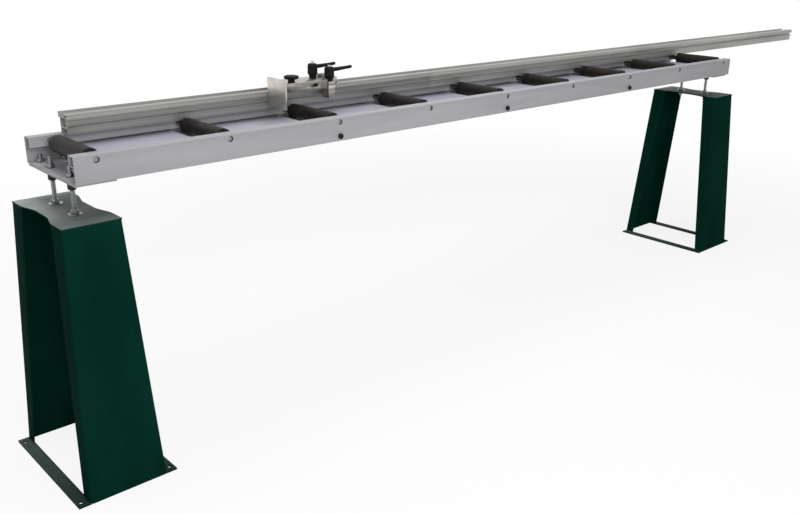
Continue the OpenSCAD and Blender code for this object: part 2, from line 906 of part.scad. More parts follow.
// Room behind the bar's end for the stop to be pushed in
bar_channel_spare = bar_w;

// Reading window in the saddle's front face, over the bar's end
module reading_window() {
    reach = (window_l - window_h) / 2;
    translate([stop_x + window_x, saddle_front - over, bar_mid_z])
        rotate([-90, 0, 0])
            linear_extrude(bar_y) {
                square([2 * reach, window_h], center = true);
                for (side = [-1, 1]) translate([side * reach, 0]) circle(d = window_h);
            }
}

module stop_saddle() {
    back = guide_head_back - rib_w - slide_gap;
    ear_reach = guide_front - lever_b_pos[1] + over;
    color([0.68, 0.68, 0.65]) placed()
        difference() {
            union() {
                translate([stop_x + saddle_step, guide_front - over, saddle_bottom])
                    cube([saddle_l - saddle_step, back - guide_front + over,
                        saddle_top - saddle_bottom]);
                translate([stop_x, saddle_front, block_bottom])
                    cube([block_l, block_d - slide_gap, saddle_top - block_bottom]);
                translate([lever_b_pos[0] - ear_w / 2, lever_b_pos[1] - ear_w / 2, ear_bottom])
                    cube([ear_w, ear_w / 2 + ear_reach, ear_h]);
            }
            bar_channel();
            reading_window();
            stud_bore(lever_a_pos, saddle_bottom - over, saddle_h + over);
            stud_bore(lever_b_pos, ear_bottom - over, ear_h + 2 * over);
            stud_bore(knob_pos, bar_mid_z, saddle_h + over);
        }
}

module stud_bore(pos, z, h) {
    translate([pos[0], pos[1], z]) cylinder(h = h, d = stud_d + 2 * run_gap);
}

// Block with rounded upper edges on the saddle's top
module index_block() {
    half = index_w / 2;
    back_y = lever_a_pos[1] + index_d / 2;
    color([0.7, 0.7, 0.68]) placed()
        translate([stop_x + index_x, back_y, saddle_top])
            rotate([90, 0, 0])
                linear_extrude(index_d) {
                    translate([-half, 0]) square([index_w, index_h - index_r]);
                    translate([index_r - half, 0]) square([index_w - 2 * index_r, index_h]);
                    for (side = [-1, 1])
                        translate([side * (half - index_r), index_h - index_r]) circle(r = index_r);
                }
}

module jaw_spacer() {
    color([0.78, 0.78, 0.78]) placed()
        translate([lever_b_pos[0], lever_b_pos[1], jaw_top])
            difference() {
                translate([-ear_w / 2, -ear_w / 2, 0]) cube([ear_w, ear_w, ear_bottom - jaw_top]);
                translate([0, 0, -over])
                    cylinder(h = ear_bottom - jaw_top + 2 * over, d = stud_d + 2 * run_gap);
            }
}

// Block under the front lever, with a tongue that hooks into the guide's slot
module clamp_jaw() {
    front = lever_b_pos[1] - ear_w / 2;
    tongue_bottom = slot_mid - slot_h / 2 + slide_gap;
    color([0.7, 0.7, 0.7]) placed()
        difference() {
            union() {
                translate([lever_b_pos[0] - jaw_l / 2, front, jaw_top - jaw_h])
                    cube([jaw_l, guide_front - slide_gap - front, jaw_h]);
                translate([lever_b_pos[0] - jaw_l / 2, front, tongue_bottom])
                    cube([jaw_l, guide_front + slot_lip + slot_back / 2 - front,
                        jaw_top - tongue_bottom]);
            }
            stud_bore(lever_b_pos, jaw_top - jaw_h / 2, jaw_h);
        }
}

module stop_plate() {
    color([0.74, 0.74, 0.72]) placed()
        translate([stop_x - stop_gap - stop_t, guide_front - stop_guide_gap - stop_w, stop_bottom])
            cube([stop_t, stop_w, stop_h]);
}

module stop_bar() {
    color([0.6, 0.6, 0.6]) placed()
        translate([stop_x - stop_gap, bar_mid_y - bar_w / 2, bar_mid_z - bar_w / 2])
            cube([bar_l, bar_w, bar_w]);
}

module clamp_knob() {
    flute_d = knob_d / 8;
    tip = bar_mid_z + bar_w / 2 + bar_gap;
    color([0.08, 0.08, 0.08]) placed()
        translate([knob_pos[0], knob_pos[1], 0]) {
            translate([0, 0, tip]) cylinder(h = saddle_top - tip + over, d = stud_d);
            translate([0, 0, saddle_top]) cylinder(h = knob_neck_h, d = knob_neck_d);
            difference() {
                translate([0, 0, saddle_top + knob_neck_h]) cylinder(h = knob_h, d = knob_d);
                for (i = [0:knob_flutes - 1])
                    rotate([0, 0, 360 * i / knob_flutes])
                        translate([knob_d / 2 + flute_d / 4, 0, saddle_top + knob_neck_h - over])
                            cylinder(h = knob_h + 2 * over, d = flute_d);
            }
        }
}

// Half section of a lever's hub: a neck that flares into a skirt, with a chamfered top
module hub_profile() {
    r = hub_d / 2;
    neck = hub_neck_d / 2;
    flare = r - neck;
    polygon([
        [0, 0], [neck, 0], [neck, flare], [r, 3 * flare],
        [r, hub_h - flare], [r - flare / 2, hub_h], [0, hub_h]
    ]);
}

// A clamping lever with its arm along +X, standing at a height
module lever(pos, z) {
    root_z = hub_h - arm_root - (hub_d - hub_neck_d) / 2;
    color([0.07, 0.07, 0.07]) placed()
        translate([pos[0], pos[1], z])
            difference() {
                union() {
                    rotate_extrude() hub_profile();
                    hull() {
                        translate([hub_d / 4, 0, root_z])
                            cylinder(h = arm_root, d = arm_root, $fn = arm_fn);
                        translate([lever_l - arm_tip / 2, 0, root_z + arm_rise])
                            cylinder(h = arm_tip, d = arm_tip, $fn = arm_fn);
                    }
                }
                translate([0, 0, -over])
                    cylinder(h = hub_h + 2 * over, d = stud_d + 2 * run_gap);
            }
}

// A lever's stud, with its bright head on top of the hub
module lever_stud(pos, z, head_h, tip) {
    color([0.8, 0.8, 0.78]) placed()
        translate([pos[0], pos[1], 0]) {
            translate([0, 0, tip]) cylinder(h = z + hub_h - tip + over, d = stud_d);
            translate([0, 0, z + hub_h]) cylinder(h = head_h, d = stud_head_d);
        }
}

module lever_a() {
    lever(lever_a_pos, saddle_top);
}

module lever_a_stud() {
    lever_stud(lever_a_pos, saddle_top, stud_head_a, guide_top + slide_gap);
}

module lever_b() {
    lever(lever_b_pos, ear_top);
}

module lever_b_stud() {
    lever_stud(lever_b_pos, ear_top, stud_head_b, jaw_top - jaw_h / 2 + over);
}

front_rail();
back_rail();
for (k = [1:roller_count - 1]) cover(k);
for (k = [1:roller_count]) roller(k);
roller_axles();
roller_bearings();
axle_spacers();
cross_ties();
tie_screws();
adapter_plate(0);  // near_adapter_plate
adapter_plate(1);  // far_adapter_plate
plate_bolts();
plate_bolt_nuts();
rod_lock_nuts();
rod_long_nuts();
near_guide_rail();
far_guide_rail();
guide_brackets();
guide_screws();
top_plate(near_stand_x);  // near_top_plate
front_leg(near_stand_x);  // near_front_leg
back_leg(near_stand_x);  // near_back_leg
base_strips(near_stand_x);  // near_base_strips
rods(near_stand_x);  // near_rods
rod_nuts(near_stand_x);  // near_rod_nuts
rod_washers(near_stand_x);  // near_rod_washers
top_plate(far_stand_x);  // far_top_plate
front_leg(far_stand_x);  // far_front_leg
back_leg(far_stand_x);  // far_back_leg
base_strips(far_stand_x);  // far_base_strips
rods(far_stand_x);  // far_rods
rod_nuts(far_stand_x);  // far_rod_nuts
rod_washers(far_stand_x);  // far_rod_washers
stop_saddle();
index_block();
jaw_spacer();
clamp_jaw();
stop_plate();
stop_bar();
clamp_knob();
lever_a();
lever_a_stud();
lever_b();
lever_b_stud();
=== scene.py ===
import json
import math
import bmesh
import bpy
from mathutils import Matrix, Vector


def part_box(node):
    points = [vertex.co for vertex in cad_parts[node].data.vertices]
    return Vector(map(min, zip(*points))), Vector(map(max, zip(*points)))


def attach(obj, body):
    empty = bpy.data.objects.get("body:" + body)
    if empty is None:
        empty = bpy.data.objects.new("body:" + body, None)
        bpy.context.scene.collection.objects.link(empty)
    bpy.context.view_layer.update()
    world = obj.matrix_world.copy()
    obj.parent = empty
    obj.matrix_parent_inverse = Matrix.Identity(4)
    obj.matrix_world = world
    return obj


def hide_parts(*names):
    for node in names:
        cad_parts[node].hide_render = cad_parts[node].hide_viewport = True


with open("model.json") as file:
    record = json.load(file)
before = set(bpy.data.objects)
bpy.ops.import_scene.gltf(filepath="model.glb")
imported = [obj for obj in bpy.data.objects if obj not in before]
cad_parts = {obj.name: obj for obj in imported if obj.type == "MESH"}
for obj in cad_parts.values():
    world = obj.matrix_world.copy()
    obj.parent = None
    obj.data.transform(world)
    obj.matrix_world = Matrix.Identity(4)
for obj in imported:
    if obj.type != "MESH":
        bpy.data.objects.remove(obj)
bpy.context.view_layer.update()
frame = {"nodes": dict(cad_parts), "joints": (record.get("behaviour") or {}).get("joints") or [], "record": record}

# Sizes in metres are written as millimetres times this
MM = 0.001

# Camera: a pinhole fitted to the photograph's frame of 800 x 514 pixels
FRAME_WIDTH = 800
FOCAL_PIXELS = 869.52
SENSOR_WIDTH = 36.0
CAMERA_PLACE = Vector((-2.74358, -2.08801, 1.33743))
CAMERA_YAW = math.radians(47.60)
CAMERA_PITCH = math.radians(-19.82)
CAMERA_ROLL = math.radians(0.70)

# Corners closer than this are one, and faces within this angle are one flat face
MERGE_DISTANCE = 0.002 * MM
FLAT_ANGLE = math.radians(0.5)

# Edges that turn by more than this stay sharp: on a made shape, and on one with broken edges
SHARP_ANGLE = math.radians(35)
BROKEN_SHARP_ANGLE = math.radians(40)

# Half a hexagon across its flats, divided by this, is half of it across its corners
COS_30 = math.cos(math.pi / 6)

# Points round a part with a hexagon. A multiple of six gives each corner one of its own
HEX_SIDES = 72

# Metric threads: their pitch, how deep they are cut and the steps that draw one turn, the radius
# of the smaller one, and the nuts' widths across their flats
M12_THREAD = {"Pitch": 1.75 * MM, "Depth": 0.7 * MM, "Steps per Turn": 16}
M10_THREAD = {"Pitch": 1.5 * MM, "Depth": 0.8 * MM, "Steps per Turn": 12}
M10_RADIUS = 5 * MM
M12_FLATS = 19 * MM
M10_FLATS = 17 * MM

# The stands' legs: sheet thickness, outer radius of the folds, depth of the flanges at the top and
# at the foot, and the share of its width that a web loses between the floor and the top
LEG_SHEET = 4 * MM
LEG_FOLD = 7 * MM
FLANGE_TOP = 61.5 * MM
FLANGE_FOOT = 38 * MM
WEB_TAPER = 0.293

UP = Vector((0, 0, 1))
DOWN = Vector((0, 0, -1))
FRONT = Vector((0, -1, 0))
BACK = Vector((0, 1, 0))

BODY_OF = {n: body for body, nodes in frame["record"]["behaviour"]["bodies"].items() for n in nodes}
SLOT_OF = {s["node"]: s["material_slot"] for s in frame["record"]["subparts"]}
ROLLERS = sorted(n for n in BODY_OF if n.startswith("roller_") and n.split("_")[1].isdigit())
COVERS = sorted(n for n in BODY_OF if n.startswith("cover_"))


def linear(hex_colour):
    """The linear colour of an sRGB hex value, as the shaders take it."""
    shares = [int(hex_colour[i:i + 2], 16) / 255 for i in (1, 3, 5)]
    levels = (s / 12.92 if s <= 0.04045 else ((s + 0.055) / 1.055) ** 2.4 for s in shares)
    return (*levels, 1.0)


def add(tree, kind, settings=None, inputs=None):
    """Adds one node with its settings, its sockets' values and the links into it."""
    node = tree.nodes.new(kind)
    for name, value in (settings or {}).items():
        setattr(node, name, value)
    for name, value in (inputs or {}).items():
        if isinstance(value, bpy.types.NodeSocket):
            tree.links.new(value, node.inputs[name])
        else:
            node.inputs[name].default_value = value
    return node


# Materials. A pattern's size is the real one, apart from grain, peel and the lines of cutting,
# grinding and extruding. Those are a few tenths of a millimetre wide on the real surfaces, and are
# drawn as coarse as the sizes below so that they show.

def new_material(name):
    """A bare material with its tree and the object coordinates that its patterns read."""
    material = bpy.data.materials.new(name)
    material.use_nodes = True
    tree = material.node_tree
    tree.nodes.clear()
    coords = add(tree, "ShaderNodeTexCoord").outputs["Object"]
    return material, tree, coords


def clouds_of(tree, coords, size, stretch=(1, 1, 1), detail=3.0, roughness=0.5, offset=(0, 0, 0)):
    """A cloudy pattern with patches about size metres wide, drawn out along an axis by stretch."""
    scale = tuple(1 / (size * s) for s in stretch)
    mapped = add(tree, "ShaderNodeMapping", None,
                 {"Vector": coords, "Location": offset, "Scale": scale})
    made = add(tree, "ShaderNodeTexNoise", None, {
        "Vector": mapped.outputs[0], "Scale": 1.0, "Detail": detail, "Roughness": roughness})
    return made.outputs["Fac"]


def laid_over(tree, body, colour, pattern, low=0.0, high=1.0, most=1.0):
    """Lays a colour over a body's where a pattern rises from low to high, up to a share of most.
    Either colour is a hex value or a socket."""
    share = add(tree, "ShaderNodeMapRange", None, {
        "Value": pattern, "From Min": low, "From Max": high, "To Min": 0.0, "To Max": most})
    under, over = (linear(c) if isinstance(c, str) else c for c in (body, colour))
    mix = add(tree, "ShaderNodeMix", {"data_type": "RGBA"},
              {"Factor": share.outputs[0], 6: under, 7: over})
    return mix.outputs[2]


def shaded(material, tree, colour, sheen, reliefs, **uniform):
    """Ends a material with its shader. sheen is a pattern, the range of it that counts and the
    roughness at both ends of that range. reliefs are patterns with their real depths, each laid
    over the one before. uniform holds numbers that are the same all over."""
    pattern, low, high, smoothest, roughest = sheen
    roughness = add(tree, "ShaderNodeMapRange", None, {
        "Value": pattern, "From Min": low, "From Max": high,
        "To Min": smoothest, "To Max": roughest})
    normal = {}
    for height, depth in reliefs:
        bump = add(tree, "ShaderNodeBump", None,
                   {"Height": height, "Distance": depth, "Strength": 1.0, **normal})
        normal = {"Normal": bump.outputs[0]}
    shader = add(tree, "ShaderNodeBsdfPrincipled", None,
                 {"Base Color": colour, "Roughness": roughness.outputs[0], **normal, **uniform})
    add(tree, "ShaderNodeOutputMaterial", None, {"Surface": shader.outputs[0]})
    return material


def rail_coat():
    """Satin powder coat on an aluminium extrusion: a fine orange peel, faint draw marks under it
    and dusty patches."""
    material, tree, coords = new_material("rail_coat")
    patches = clouds_of(tree, coords, 260 * MM, (2, 1, 1))
    dust_and_sheen = clouds_of(tree, coords, 22 * MM, (3, 1, 1), detail=5.0, offset=(3, 1, 2))
    scuffs = clouds_of(tree, coords, 3 * MM, (30, 1, 1), detail=2.0, offset=(7, 0, 3))
    peel = clouds_of(tree, coords, 1.4 * MM, detail=2.0)
    draw_lines = clouds_of(tree, coords, 2.5 * MM, (400, 1, 1))
    body = laid_over(tree, "#929296", "#9A9A9E", patches, 0.35, 0.65)
    body = laid_over(tree, body, "#AAA9A7", dust_and_sheen, 0.58, 0.80, 0.35)
    body = laid_over(tree, body, "#828286", scuffs, 0.72, 0.82, 0.45)
    return shaded(material, tree, body, (dust_and_sheen, 0.3, 0.75, 0.38, 0.56),
                  ((draw_lines, 0.05 * MM), (peel, 0.03 * MM)), Metallic=0.0, IOR=1.5)


def cover_coat():
    """Pale lavender grey coat on thin sheet: smooth, with drag marks where bars were pushed along
    the table."""
    material, tree, coords = new_material("cover_coat")
    patches = clouds_of(tree, coords, 180 * MM, (1.5, 1, 1))
    drags = clouds_of(tree, coords, 2 * MM, (60, 1, 1), detail=2.0, offset=(1, 4, 0))
    dust_and_sheen = clouds_of(tree, coords, 14 * MM, detail=6.0, offset=(5, 2, 0))
    peel = clouds_of(tree, coords, 1.2 * MM, detail=2.0)
    body = laid_over(tree, "#9D9DAA", "#A6A6B2", patches, 0.35, 0.65)
    body = laid_over(tree, body, "#8D8D97", drags, 0.66, 0.80, 0.4)
    body = laid_over(tree, body, "#B1B0AE", dust_and_sheen, 0.60, 0.85, 0.4)
    return shaded(material, tree, body, (dust_and_sheen, 0.3, 0.75, 0.42, 0.60),
                  ((peel, 0.02 * MM), (drags, 0.02 * MM)), Metallic=0.0, IOR=1.5)


def stand_coat():
    """Dark green powder coat on folded steel: an even orange peel. What faces up carries a painted
    sheen: a patchy pale grey film that stands in for the grazing reflection of the pale surroundings,
    fading towards the front and down to the floor strips. The IOR is below a real coat's 1.5,
    because pale surroundings would grey the dark green."""
    material, tree, coords = new_material("stand_coat")
    patches = clouds_of(tree, coords, 160 * MM, (1, 1, 2))
    peel = clouds_of(tree, coords, 1.8 * MM, detail=2.0)
    rub = clouds_of(tree, coords, 9 * MM, (1, 1, 4), detail=5.0, offset=(2, 5, 1))
    sheen_patches = clouds_of(tree, coords, 60 * MM, detail=5.0, offset=(6, 1, 2))
    facing = add(tree, "ShaderNodeSeparateXYZ", None, {"Vector": coords.node.outputs["Normal"]})
    place = add(tree, "ShaderNodeSeparateXYZ", None, {"Vector": coords})
    dust_and_sheen = 1.0
    # The share of painted sheen: on what faces up, in patches, less towards the front and near the floor
    for value, low, high, least in (
            (facing.outputs["Z"], 0.6, 0.95, 0.0),
            (sheen_patches, 0.3, 0.7, 0.80),
            (place.outputs["Y"], -200 * MM, 130 * MM, 0.20),
            (place.outputs["Z"], 50 * MM, 500 * MM, 0.22)):
        share = add(tree, "ShaderNodeMapRange", None, {
            "Value": value, "From Min": low, "From Max": high, "To Min": least, "To Max": 1.0})
        dust_and_sheen = add(tree, "ShaderNodeMath", {"operation": "MULTIPLY"},
                   {0: dust_and_sheen, 1: share.outputs[0]}).outputs[0]
    body = laid_over(tree, "#05261F", "#082E26", patches, 0.35, 0.65)
    body = laid_over(tree, body, "#1C4A3F", rub, 0.68, 0.82, 0.2)
    # Painted sheen: a pale grey stands in for the grazing reflection on what faces up
    body = laid_over(tree, body, "#B2B8B6", dust_and_sheen)
    return shaded(material, tree, body, (rub, 0.3, 0.75, 0.36, 0.48),
                  ((peel, 0.05 * MM),), Metallic=0.0, IOR=1.02)


def roller_coat():
    """Brown-black coat on a steel tube: matt rings rubbed round it by bars, and fine scratches
    along the table. The IOR is below a real coat's 1.5, so that pale surroundings don't grey it."""
    material, tree, coords = new_material("roller_coat")
    rings = clouds_of(tree, coords, 7 * MM, (200, 1, 200), detail=4.0)
    cloud = clouds_of(tree, coords, 25 * MM, offset=(2, 1, 0))
    grain = clouds_of(tree, coords, 0.9 * MM, detail=2.0)
    specks = clouds_of(tree, coords, 4 * MM, (4, 1, 4), detail=5.0, offset=(0, 7, 1))
    body = laid_over(tree, "#181413", "#1F1B19", rings, 0.35, 0.65)
    body = laid_over(tree, body, "#2C2521", cloud, 0.45, 0.75, 0.5)
    body = laid_over(tree, body, "#4A4440", specks, 0.72, 0.86, 0.3)
    return shaded(material, tree, body, (rings, 0.3, 0.7, 0.44, 0.56),
                  ((grain, 0.03 * MM), (rings, 0.015 * MM)), Metallic=0.0, IOR=1.25)


def mill_aluminium():
    """Mill-finish extruded aluminium: metal under a grey oxide skin, with long die lines, stain
    clouds and handling marks, and long pale warm streaks of painted highlight for the lamps' glints."""
    material, tree, coords = new_material("mill_aluminium")
    die_lines = clouds_of(tree, coords, 1.6 * MM, (900, 1, 1), detail=4.0, roughness=0.6)
    bands = clouds_of(tree, coords, 7 * MM, (300, 1, 1), detail=2.0, offset=(0, 3, 1))
    stains = clouds_of(tree, coords, 120 * MM, (3, 1, 1), detail=5.0, offset=(4, 0, 0))
    marks = clouds_of(tree, coords, 5 * MM, (2, 1, 1), detail=6.0, offset=(9, 2, 5))
    painted_glints = clouds_of(tree, coords, 40 * MM, (6, 1, 1), offset=(2, 8, 3))
    body = laid_over(tree, "#9A9A97", "#B0B0AB", bands, 0.35, 0.65)
    body = laid_over(tree, body, "#8C8B84", stains, 0.50, 0.75, 0.45)
    # Painted highlight: pale warm streaks stand in for glints of the lamps on the metal
    body = laid_over(tree, body, "#C6C4B0", painted_glints, 0.60, 0.78, 0.4)
    body = laid_over(tree, body, "#6A6963", marks, 0.66, 0.80, 0.4)
    return shaded(material, tree, body, (stains, 0.3, 0.7, 0.44, 0.60),
                  ((die_lines, 0.05 * MM), (marks, 0.02 * MM)), Metallic=0.75)


def milled_aluminium():
    """Machined aluminium block: bright, with close cutter marks and softened handling stains."""
    material, tree, coords = new_material("milled_aluminium")
    cuts = add(tree, "ShaderNodeTexWave", {"wave_type": "RINGS", "rings_direction": "Z"}, {
        "Vector": coords, "Scale": 1 / (4.5 * MM), "Distortion": 3.0, "Detail": 2.0}).outputs["Fac"]
    fine = clouds_of(tree, coords, 0.8 * MM, (6, 1, 1))
    stains = clouds_of(tree, coords, 24 * MM, detail=5.0, offset=(3, 3, 1))
    body = laid_over(tree, "#BDB9B1", "#A5A199", stains, 0.40, 0.70)
    body = laid_over(tree, body, "#8C8981", fine, 0.62, 0.80, 0.4)
    return shaded(material, tree, body, (stains, 0.3, 0.7, 0.30, 0.46),
                  ((cuts, 0.006 * MM), (fine, 0.01 * MM)), Metallic=1.0)


def ground_steel():
    """Surface-ground steel plate: fine straight grinding lines and a few dull finger marks."""
    material, tree, coords = new_material("ground_steel")
    grinding = clouds_of(tree, coords, 0.7 * MM, (1, 60, 1), detail=4.0, roughness=0.6)
    marks = clouds_of(tree, coords, 30 * MM, detail=4.0, offset=(1, 6, 2))
    nicks = clouds_of(tree, coords, 3 * MM, detail=6.0, offset=(2, 2, 8))
    body = laid_over(tree, "#CCC6C0", "#DAD4CE", grinding, 0.35, 0.65)
    body = laid_over(tree, body, "#BAB4AE", marks, 0.45, 0.75, 0.5)
    body = laid_over(tree, body, "#706C67", nicks, 0.72, 0.84, 0.5)
    return shaded(material, tree, body, (marks, 0.3, 0.7, 0.28, 0.42),
                  ((grinding, 0.015 * MM),), Metallic=1.0)


def zinc_plate():
    """Bright zinc plate on steel fasteners: silver with faint warm and blue clouds from its clear
    chromate, and grime in its hollows."""
    material, tree, coords = new_material("zinc_plate")
    warm = clouds_of(tree, coords, 8 * MM)
    cool = clouds_of(tree, coords, 11 * MM, offset=(5, 5, 5))
    grime = clouds_of(tree, coords, 2.5 * MM, detail=5.0, offset=(1, 2, 3))
    body = laid_over(tree, "#96989A", "#9A9A96", warm, 0.40, 0.70)
    body = laid_over(tree, body, "#878E97", cool, 0.50, 0.75, 0.6)
    body = laid_over(tree, body, "#57544D", grime, 0.62, 0.80, 0.6)
    return shaded(material, tree, body, (grime, 0.3, 0.75, 0.24, 0.44),
                  ((grime, 0.02 * MM),), Metallic=1.0)


def black_oxide():
    """Oil-blackened steel screws: near black with a dull sheen, rubbed lighter in places."""
    material, tree, coords = new_material("black_oxide")
    cloud = clouds_of(tree, coords, 5 * MM, detail=4.0)
    rub = clouds_of(tree, coords, 1.5 * MM, detail=5.0, offset=(4, 1, 1))
    body = laid_over(tree, "#1B1B1D", "#26262A", cloud, 0.35, 0.65)
    body = laid_over(tree, body, "#55555A", rub, 0.68, 0.82, 0.5)
    return shaded(material, tree, body, (cloud, 0.3, 0.7, 0.36, 0.52),
                  ((rub, 0.02 * MM),), Metallic=0.6)


def black_nylon():
    """Moulded glass-filled nylon: black with a fine spark-eroded grain and slightly greyed high
    spots. The IOR is below nylon's 1.53, so that pale surroundings don't grey it."""
    material, tree, coords = new_material("black_nylon")
    grain = clouds_of(tree, coords, 0.6 * MM, detail=2.0)
    wear = clouds_of(tree, coords, 12 * MM, detail=4.0, offset=(2, 0, 1))
    body = laid_over(tree, "#0E0E0F", "#171718", wear, 0.40, 0.70)
    body = laid_over(tree, body, "#262628", grain, 0.60, 0.80, 0.3)
    return shaded(material, tree, body, (wear, 0.3, 0.7, 0.42, 0.56),
                  ((grain, 0.03 * MM),), Metallic=0.0, IOR=1.25)


# The finish of each material slot, made once where two slots have the same one
powder_coat = rail_coat()
block_metal = milled_aluminium()
bright_metal = ground_steel()
MATERIALS = {
    "rail_paint": powder_coat,
    "plate_aluminium": powder_coat,
    "cover_paint": cover_coat(),
    "roller_black": roller_coat(),
    "zinc_steel": zinc_plate(),
    "bearing_steel": bright_metal,
    "bright_steel": bright_metal,
    "tie_aluminium": block_metal,
    "stop_aluminium": block_metal,
    "black_oxide": black_oxide(),
    "guide_aluminium": mill_aluminium(),
    "stand_green": stand_coat(),
    "black_plastic": black_nylon(),
}


# Mesh helpers

def linked(name, data):
    """A new object in the scene."""
    made = bpy.data.objects.new(name, data)
    bpy.context.scene.collection.objects.link(made)
    return made


def object_of(name, bm):
    """An object of a bmesh as it is, which is used up."""
    mesh = bpy.data.meshes.new(name)
    bm.to_mesh(mesh)
    bm.free()
    return linked(name, mesh)


def smoothed(obj, sharp_angle=SHARP_ANGLE):
    """Shades an object smooth and keeps its sharp edges sharp."""
    for face in obj.data.polygons:
        face.use_smooth = True
    obj.data.set_sharp_from_angle(angle=sharp_angle)
    return obj


def mesh_object(name, bm):
    """A smooth object of a bmesh, with its corners merged and its faces turned outwards."""
    bmesh.ops.remove_doubles(bm, verts=bm.verts, dist=MERGE_DISTANCE)
    bmesh.ops.recalc_face_normals(bm, faces=bm.faces)
    return smoothed(object_of(name, bm))


def frozen(obj):
    """Turns an object's modifiers into its plain mesh."""
    bpy.context.view_layer.update()
    graph = bpy.context.evaluated_depsgraph_get()
    mesh = bpy.data.meshes.new_from_object(obj.evaluated_get(graph), depsgraph=graph)
    obj.modifiers.clear()
    obj.data = mesh
    return obj


def joined(name, pieces):
    """One object from several."""
    bm = bmesh.new()
    for piece in pieces:
        bm.from_mesh(piece.data)
        bpy.data.objects.remove(piece)
    return object_of(name, bm)


def dressed(piece, *nodes):
    """Gives a piece the material of its nodes' slot, hangs it on their body and hides the nodes, so that it stands
    for them.
    """
    slot = SLOT_OF[nodes[0]]
    piece.data.materials.clear()
    piece.data.materials.append(MATERIALS[slot])
    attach(piece, BODY_OF[nodes[0]])
    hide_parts(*nodes)
    return piece


def cad_copy(node):
    """A bmesh of a CAD node, with its loose triangles merged into flat faces."""
    bm = bmesh.new()
    bm.from_mesh(frame["nodes"][node].data)
    bmesh.ops.remove_doubles(bm, verts=bm.verts, dist=MERGE_DISTANCE)
    bmesh.ops.dissolve_limit(bm, angle_limit=FLAT_ANGLE, verts=bm.verts, edges=bm.edges)
    return bm


def broken_edges(piece, width, least_angle):
    """Rounds the edges that turn by more than an angle, as a file or a tumbler leaves them."""
    bevel = piece.modifiers.new("edges", "BEVEL")
    bevel.width = width
    bevel.segments = 2
    bevel.limit_method = "ANGLE"
    bevel.angle_limit = least_angle
    return smoothed(frozen(piece), BROKEN_SHARP_ANGLE)


def finished(node, width):
    """A CAD node with its sharp edges broken to a width."""
    piece = mesh_object(node + "_finished", cad_copy(node))
    return dressed(broken_edges(piece, width, SHARP_ANGLE), node)


def ring(reach, z, sides):
    """Points round the Z axis at a height. reach is a radius, or gives one for each turn."""
    points = []
    for i in range(sides):
        turn = math.tau * i / sides
        radius = reach(turn) if callable(reach) else reach
        points.append(Vector((radius * math.cos(turn), radius * math.sin(turn), z)))
    return points


def hexagon(flat, corner=math.inf):
    """The reach of a hexagon at each turn. flat is the way from its middle to its flats, and corner
    a radius that its corners are cut back to."""
    return lambda turn: min(corner, flat / math.cos((turn % (math.pi / 3)) - math.pi / 6))


def fluted(radius, depth, flutes):
    """The reach of a round grip at each turn, with evenly spaced flutes of a depth."""
    return lambda turn: radius - max(0.0, math.cos(flutes * turn)) ** 3 * depth


def turned(rows, sides):
    """Rings of a turned part from rows of reach and height."""
    return [ring(reach, z, sides) for reach, z in rows]


def grip(rows, flutes, sides):
    """Rings of a fluted grip from rows in millimetres: radius, height and depth of the flutes."""
    return turned([(fluted(r * MM, depth * MM, flutes), z * MM) for r, z, depth in rows], sides)


def moved(rings, place):
    """Rings shifted to a place."""
    return [[point + place for point in points] for points in rings]


def skinned(rings, closed_ends=True):
    """A bmesh of rings of equally many points, joined by faces. The first and last ring are capped
    unless they meet."""
    bm = bmesh.new()
    made = [[bm.verts.new(p) for p in points] for points in rings]
    count = len(made[0])
    for lower, upper in zip(made, made[1:]):
        for i in range(count):
            j = (i + 1) % count
            bm.faces.new((lower[i], lower[j], upper[j], upper[i]))
    if closed_ends:
        bm.faces.new(list(reversed(made[0])))
        bm.faces.new(made[-1])
    return bm


def template(name, bm):
    """A shape that a tree sets out in copies. It isn't in the scene itself."""
    made = mesh_object(name, bm)
    bpy.context.scene.collection.objects.unlink(made)
    return made


def nut_template(name, flats, height, bore):
    """A hexagonal nut that stands on the XY plane, open at its bore. At both ends a cone cuts its
    corners back and the bore is countersunk."""
    flat = flats / 2
    corner = flat / COS_30
    cone_start, cone_height, cone_steps = 0.95 * flat, 0.12 * flats, 4
    cone = []
    for i in range(cone_steps + 1):
        cut = cone_start + (corner - cone_start) * i / cone_steps
        cone.append((hexagon(flat, cut), cone_height * i / cone_steps))
    mouth = 0.06 * flats
    hole = [(bore / 2 + mouth, height), (bore / 2, height - mouth), (bore / 2, mouth),
            (bore / 2 + mouth, 0.0)]
    rows = cone + [(reach, height - z) for reach, z in reversed(cone)] + hole + cone[:1]
    return template(name, skinned(turned(rows, HEX_SIDES), closed_ends=False))


def washer_template(name, outer_d, bore, height):
    """A plain washer with broken edges that stands on the XY plane."""
    outer, inner, edge = outer_d / 2, bore / 2, height / 5
    rows = [(outer - edge, 0), (outer, edge), (outer, height - edge), (outer - edge, height),
            (inner + edge, height), (inner, height - edge), (inner, edge), (inner + edge, 0),
            (outer - edge, 0)]
    return template(name, skinned(turned(rows, sides=64), closed_ends=False))


def countersunk_template(name, head_d, shank_d, depth, socket):
    """A countersunk head with a hexagonal socket. Its flat top lies in the XY plane and its cone
    below."""
    rim, socket_depth = 0.4 * MM, depth * 0.6
    rows = [(shank_d / 2, -depth), (head_d / 2, -rim), (head_d / 2, 0),
            (hexagon(socket / 2), 0), (hexagon(socket / 2), -socket_depth)]
    return template(name, skinned(turned(rows, HEX_SIDES)))


def socket_head_template(name, head_d, height, socket):
    """A cap screw's head that stands on the XY plane, with a hexagonal socket in its top. The
    socket's mouth is countersunk and its floor is a little below half height."""
    flat, edge = socket / 2, height * 0.12
    mouth = hexagon(flat * 1.12, flat / COS_30 * 1.04)
    rows = [(head_d / 2, 0), (head_d / 2, height - edge), (head_d / 2 - edge, height),
            (mouth, height), (hexagon(flat), height - edge), (hexagon(flat), height * 0.45)]
    return template(name, skinned(turned(rows, HEX_SIDES)))


# Geometry Nodes

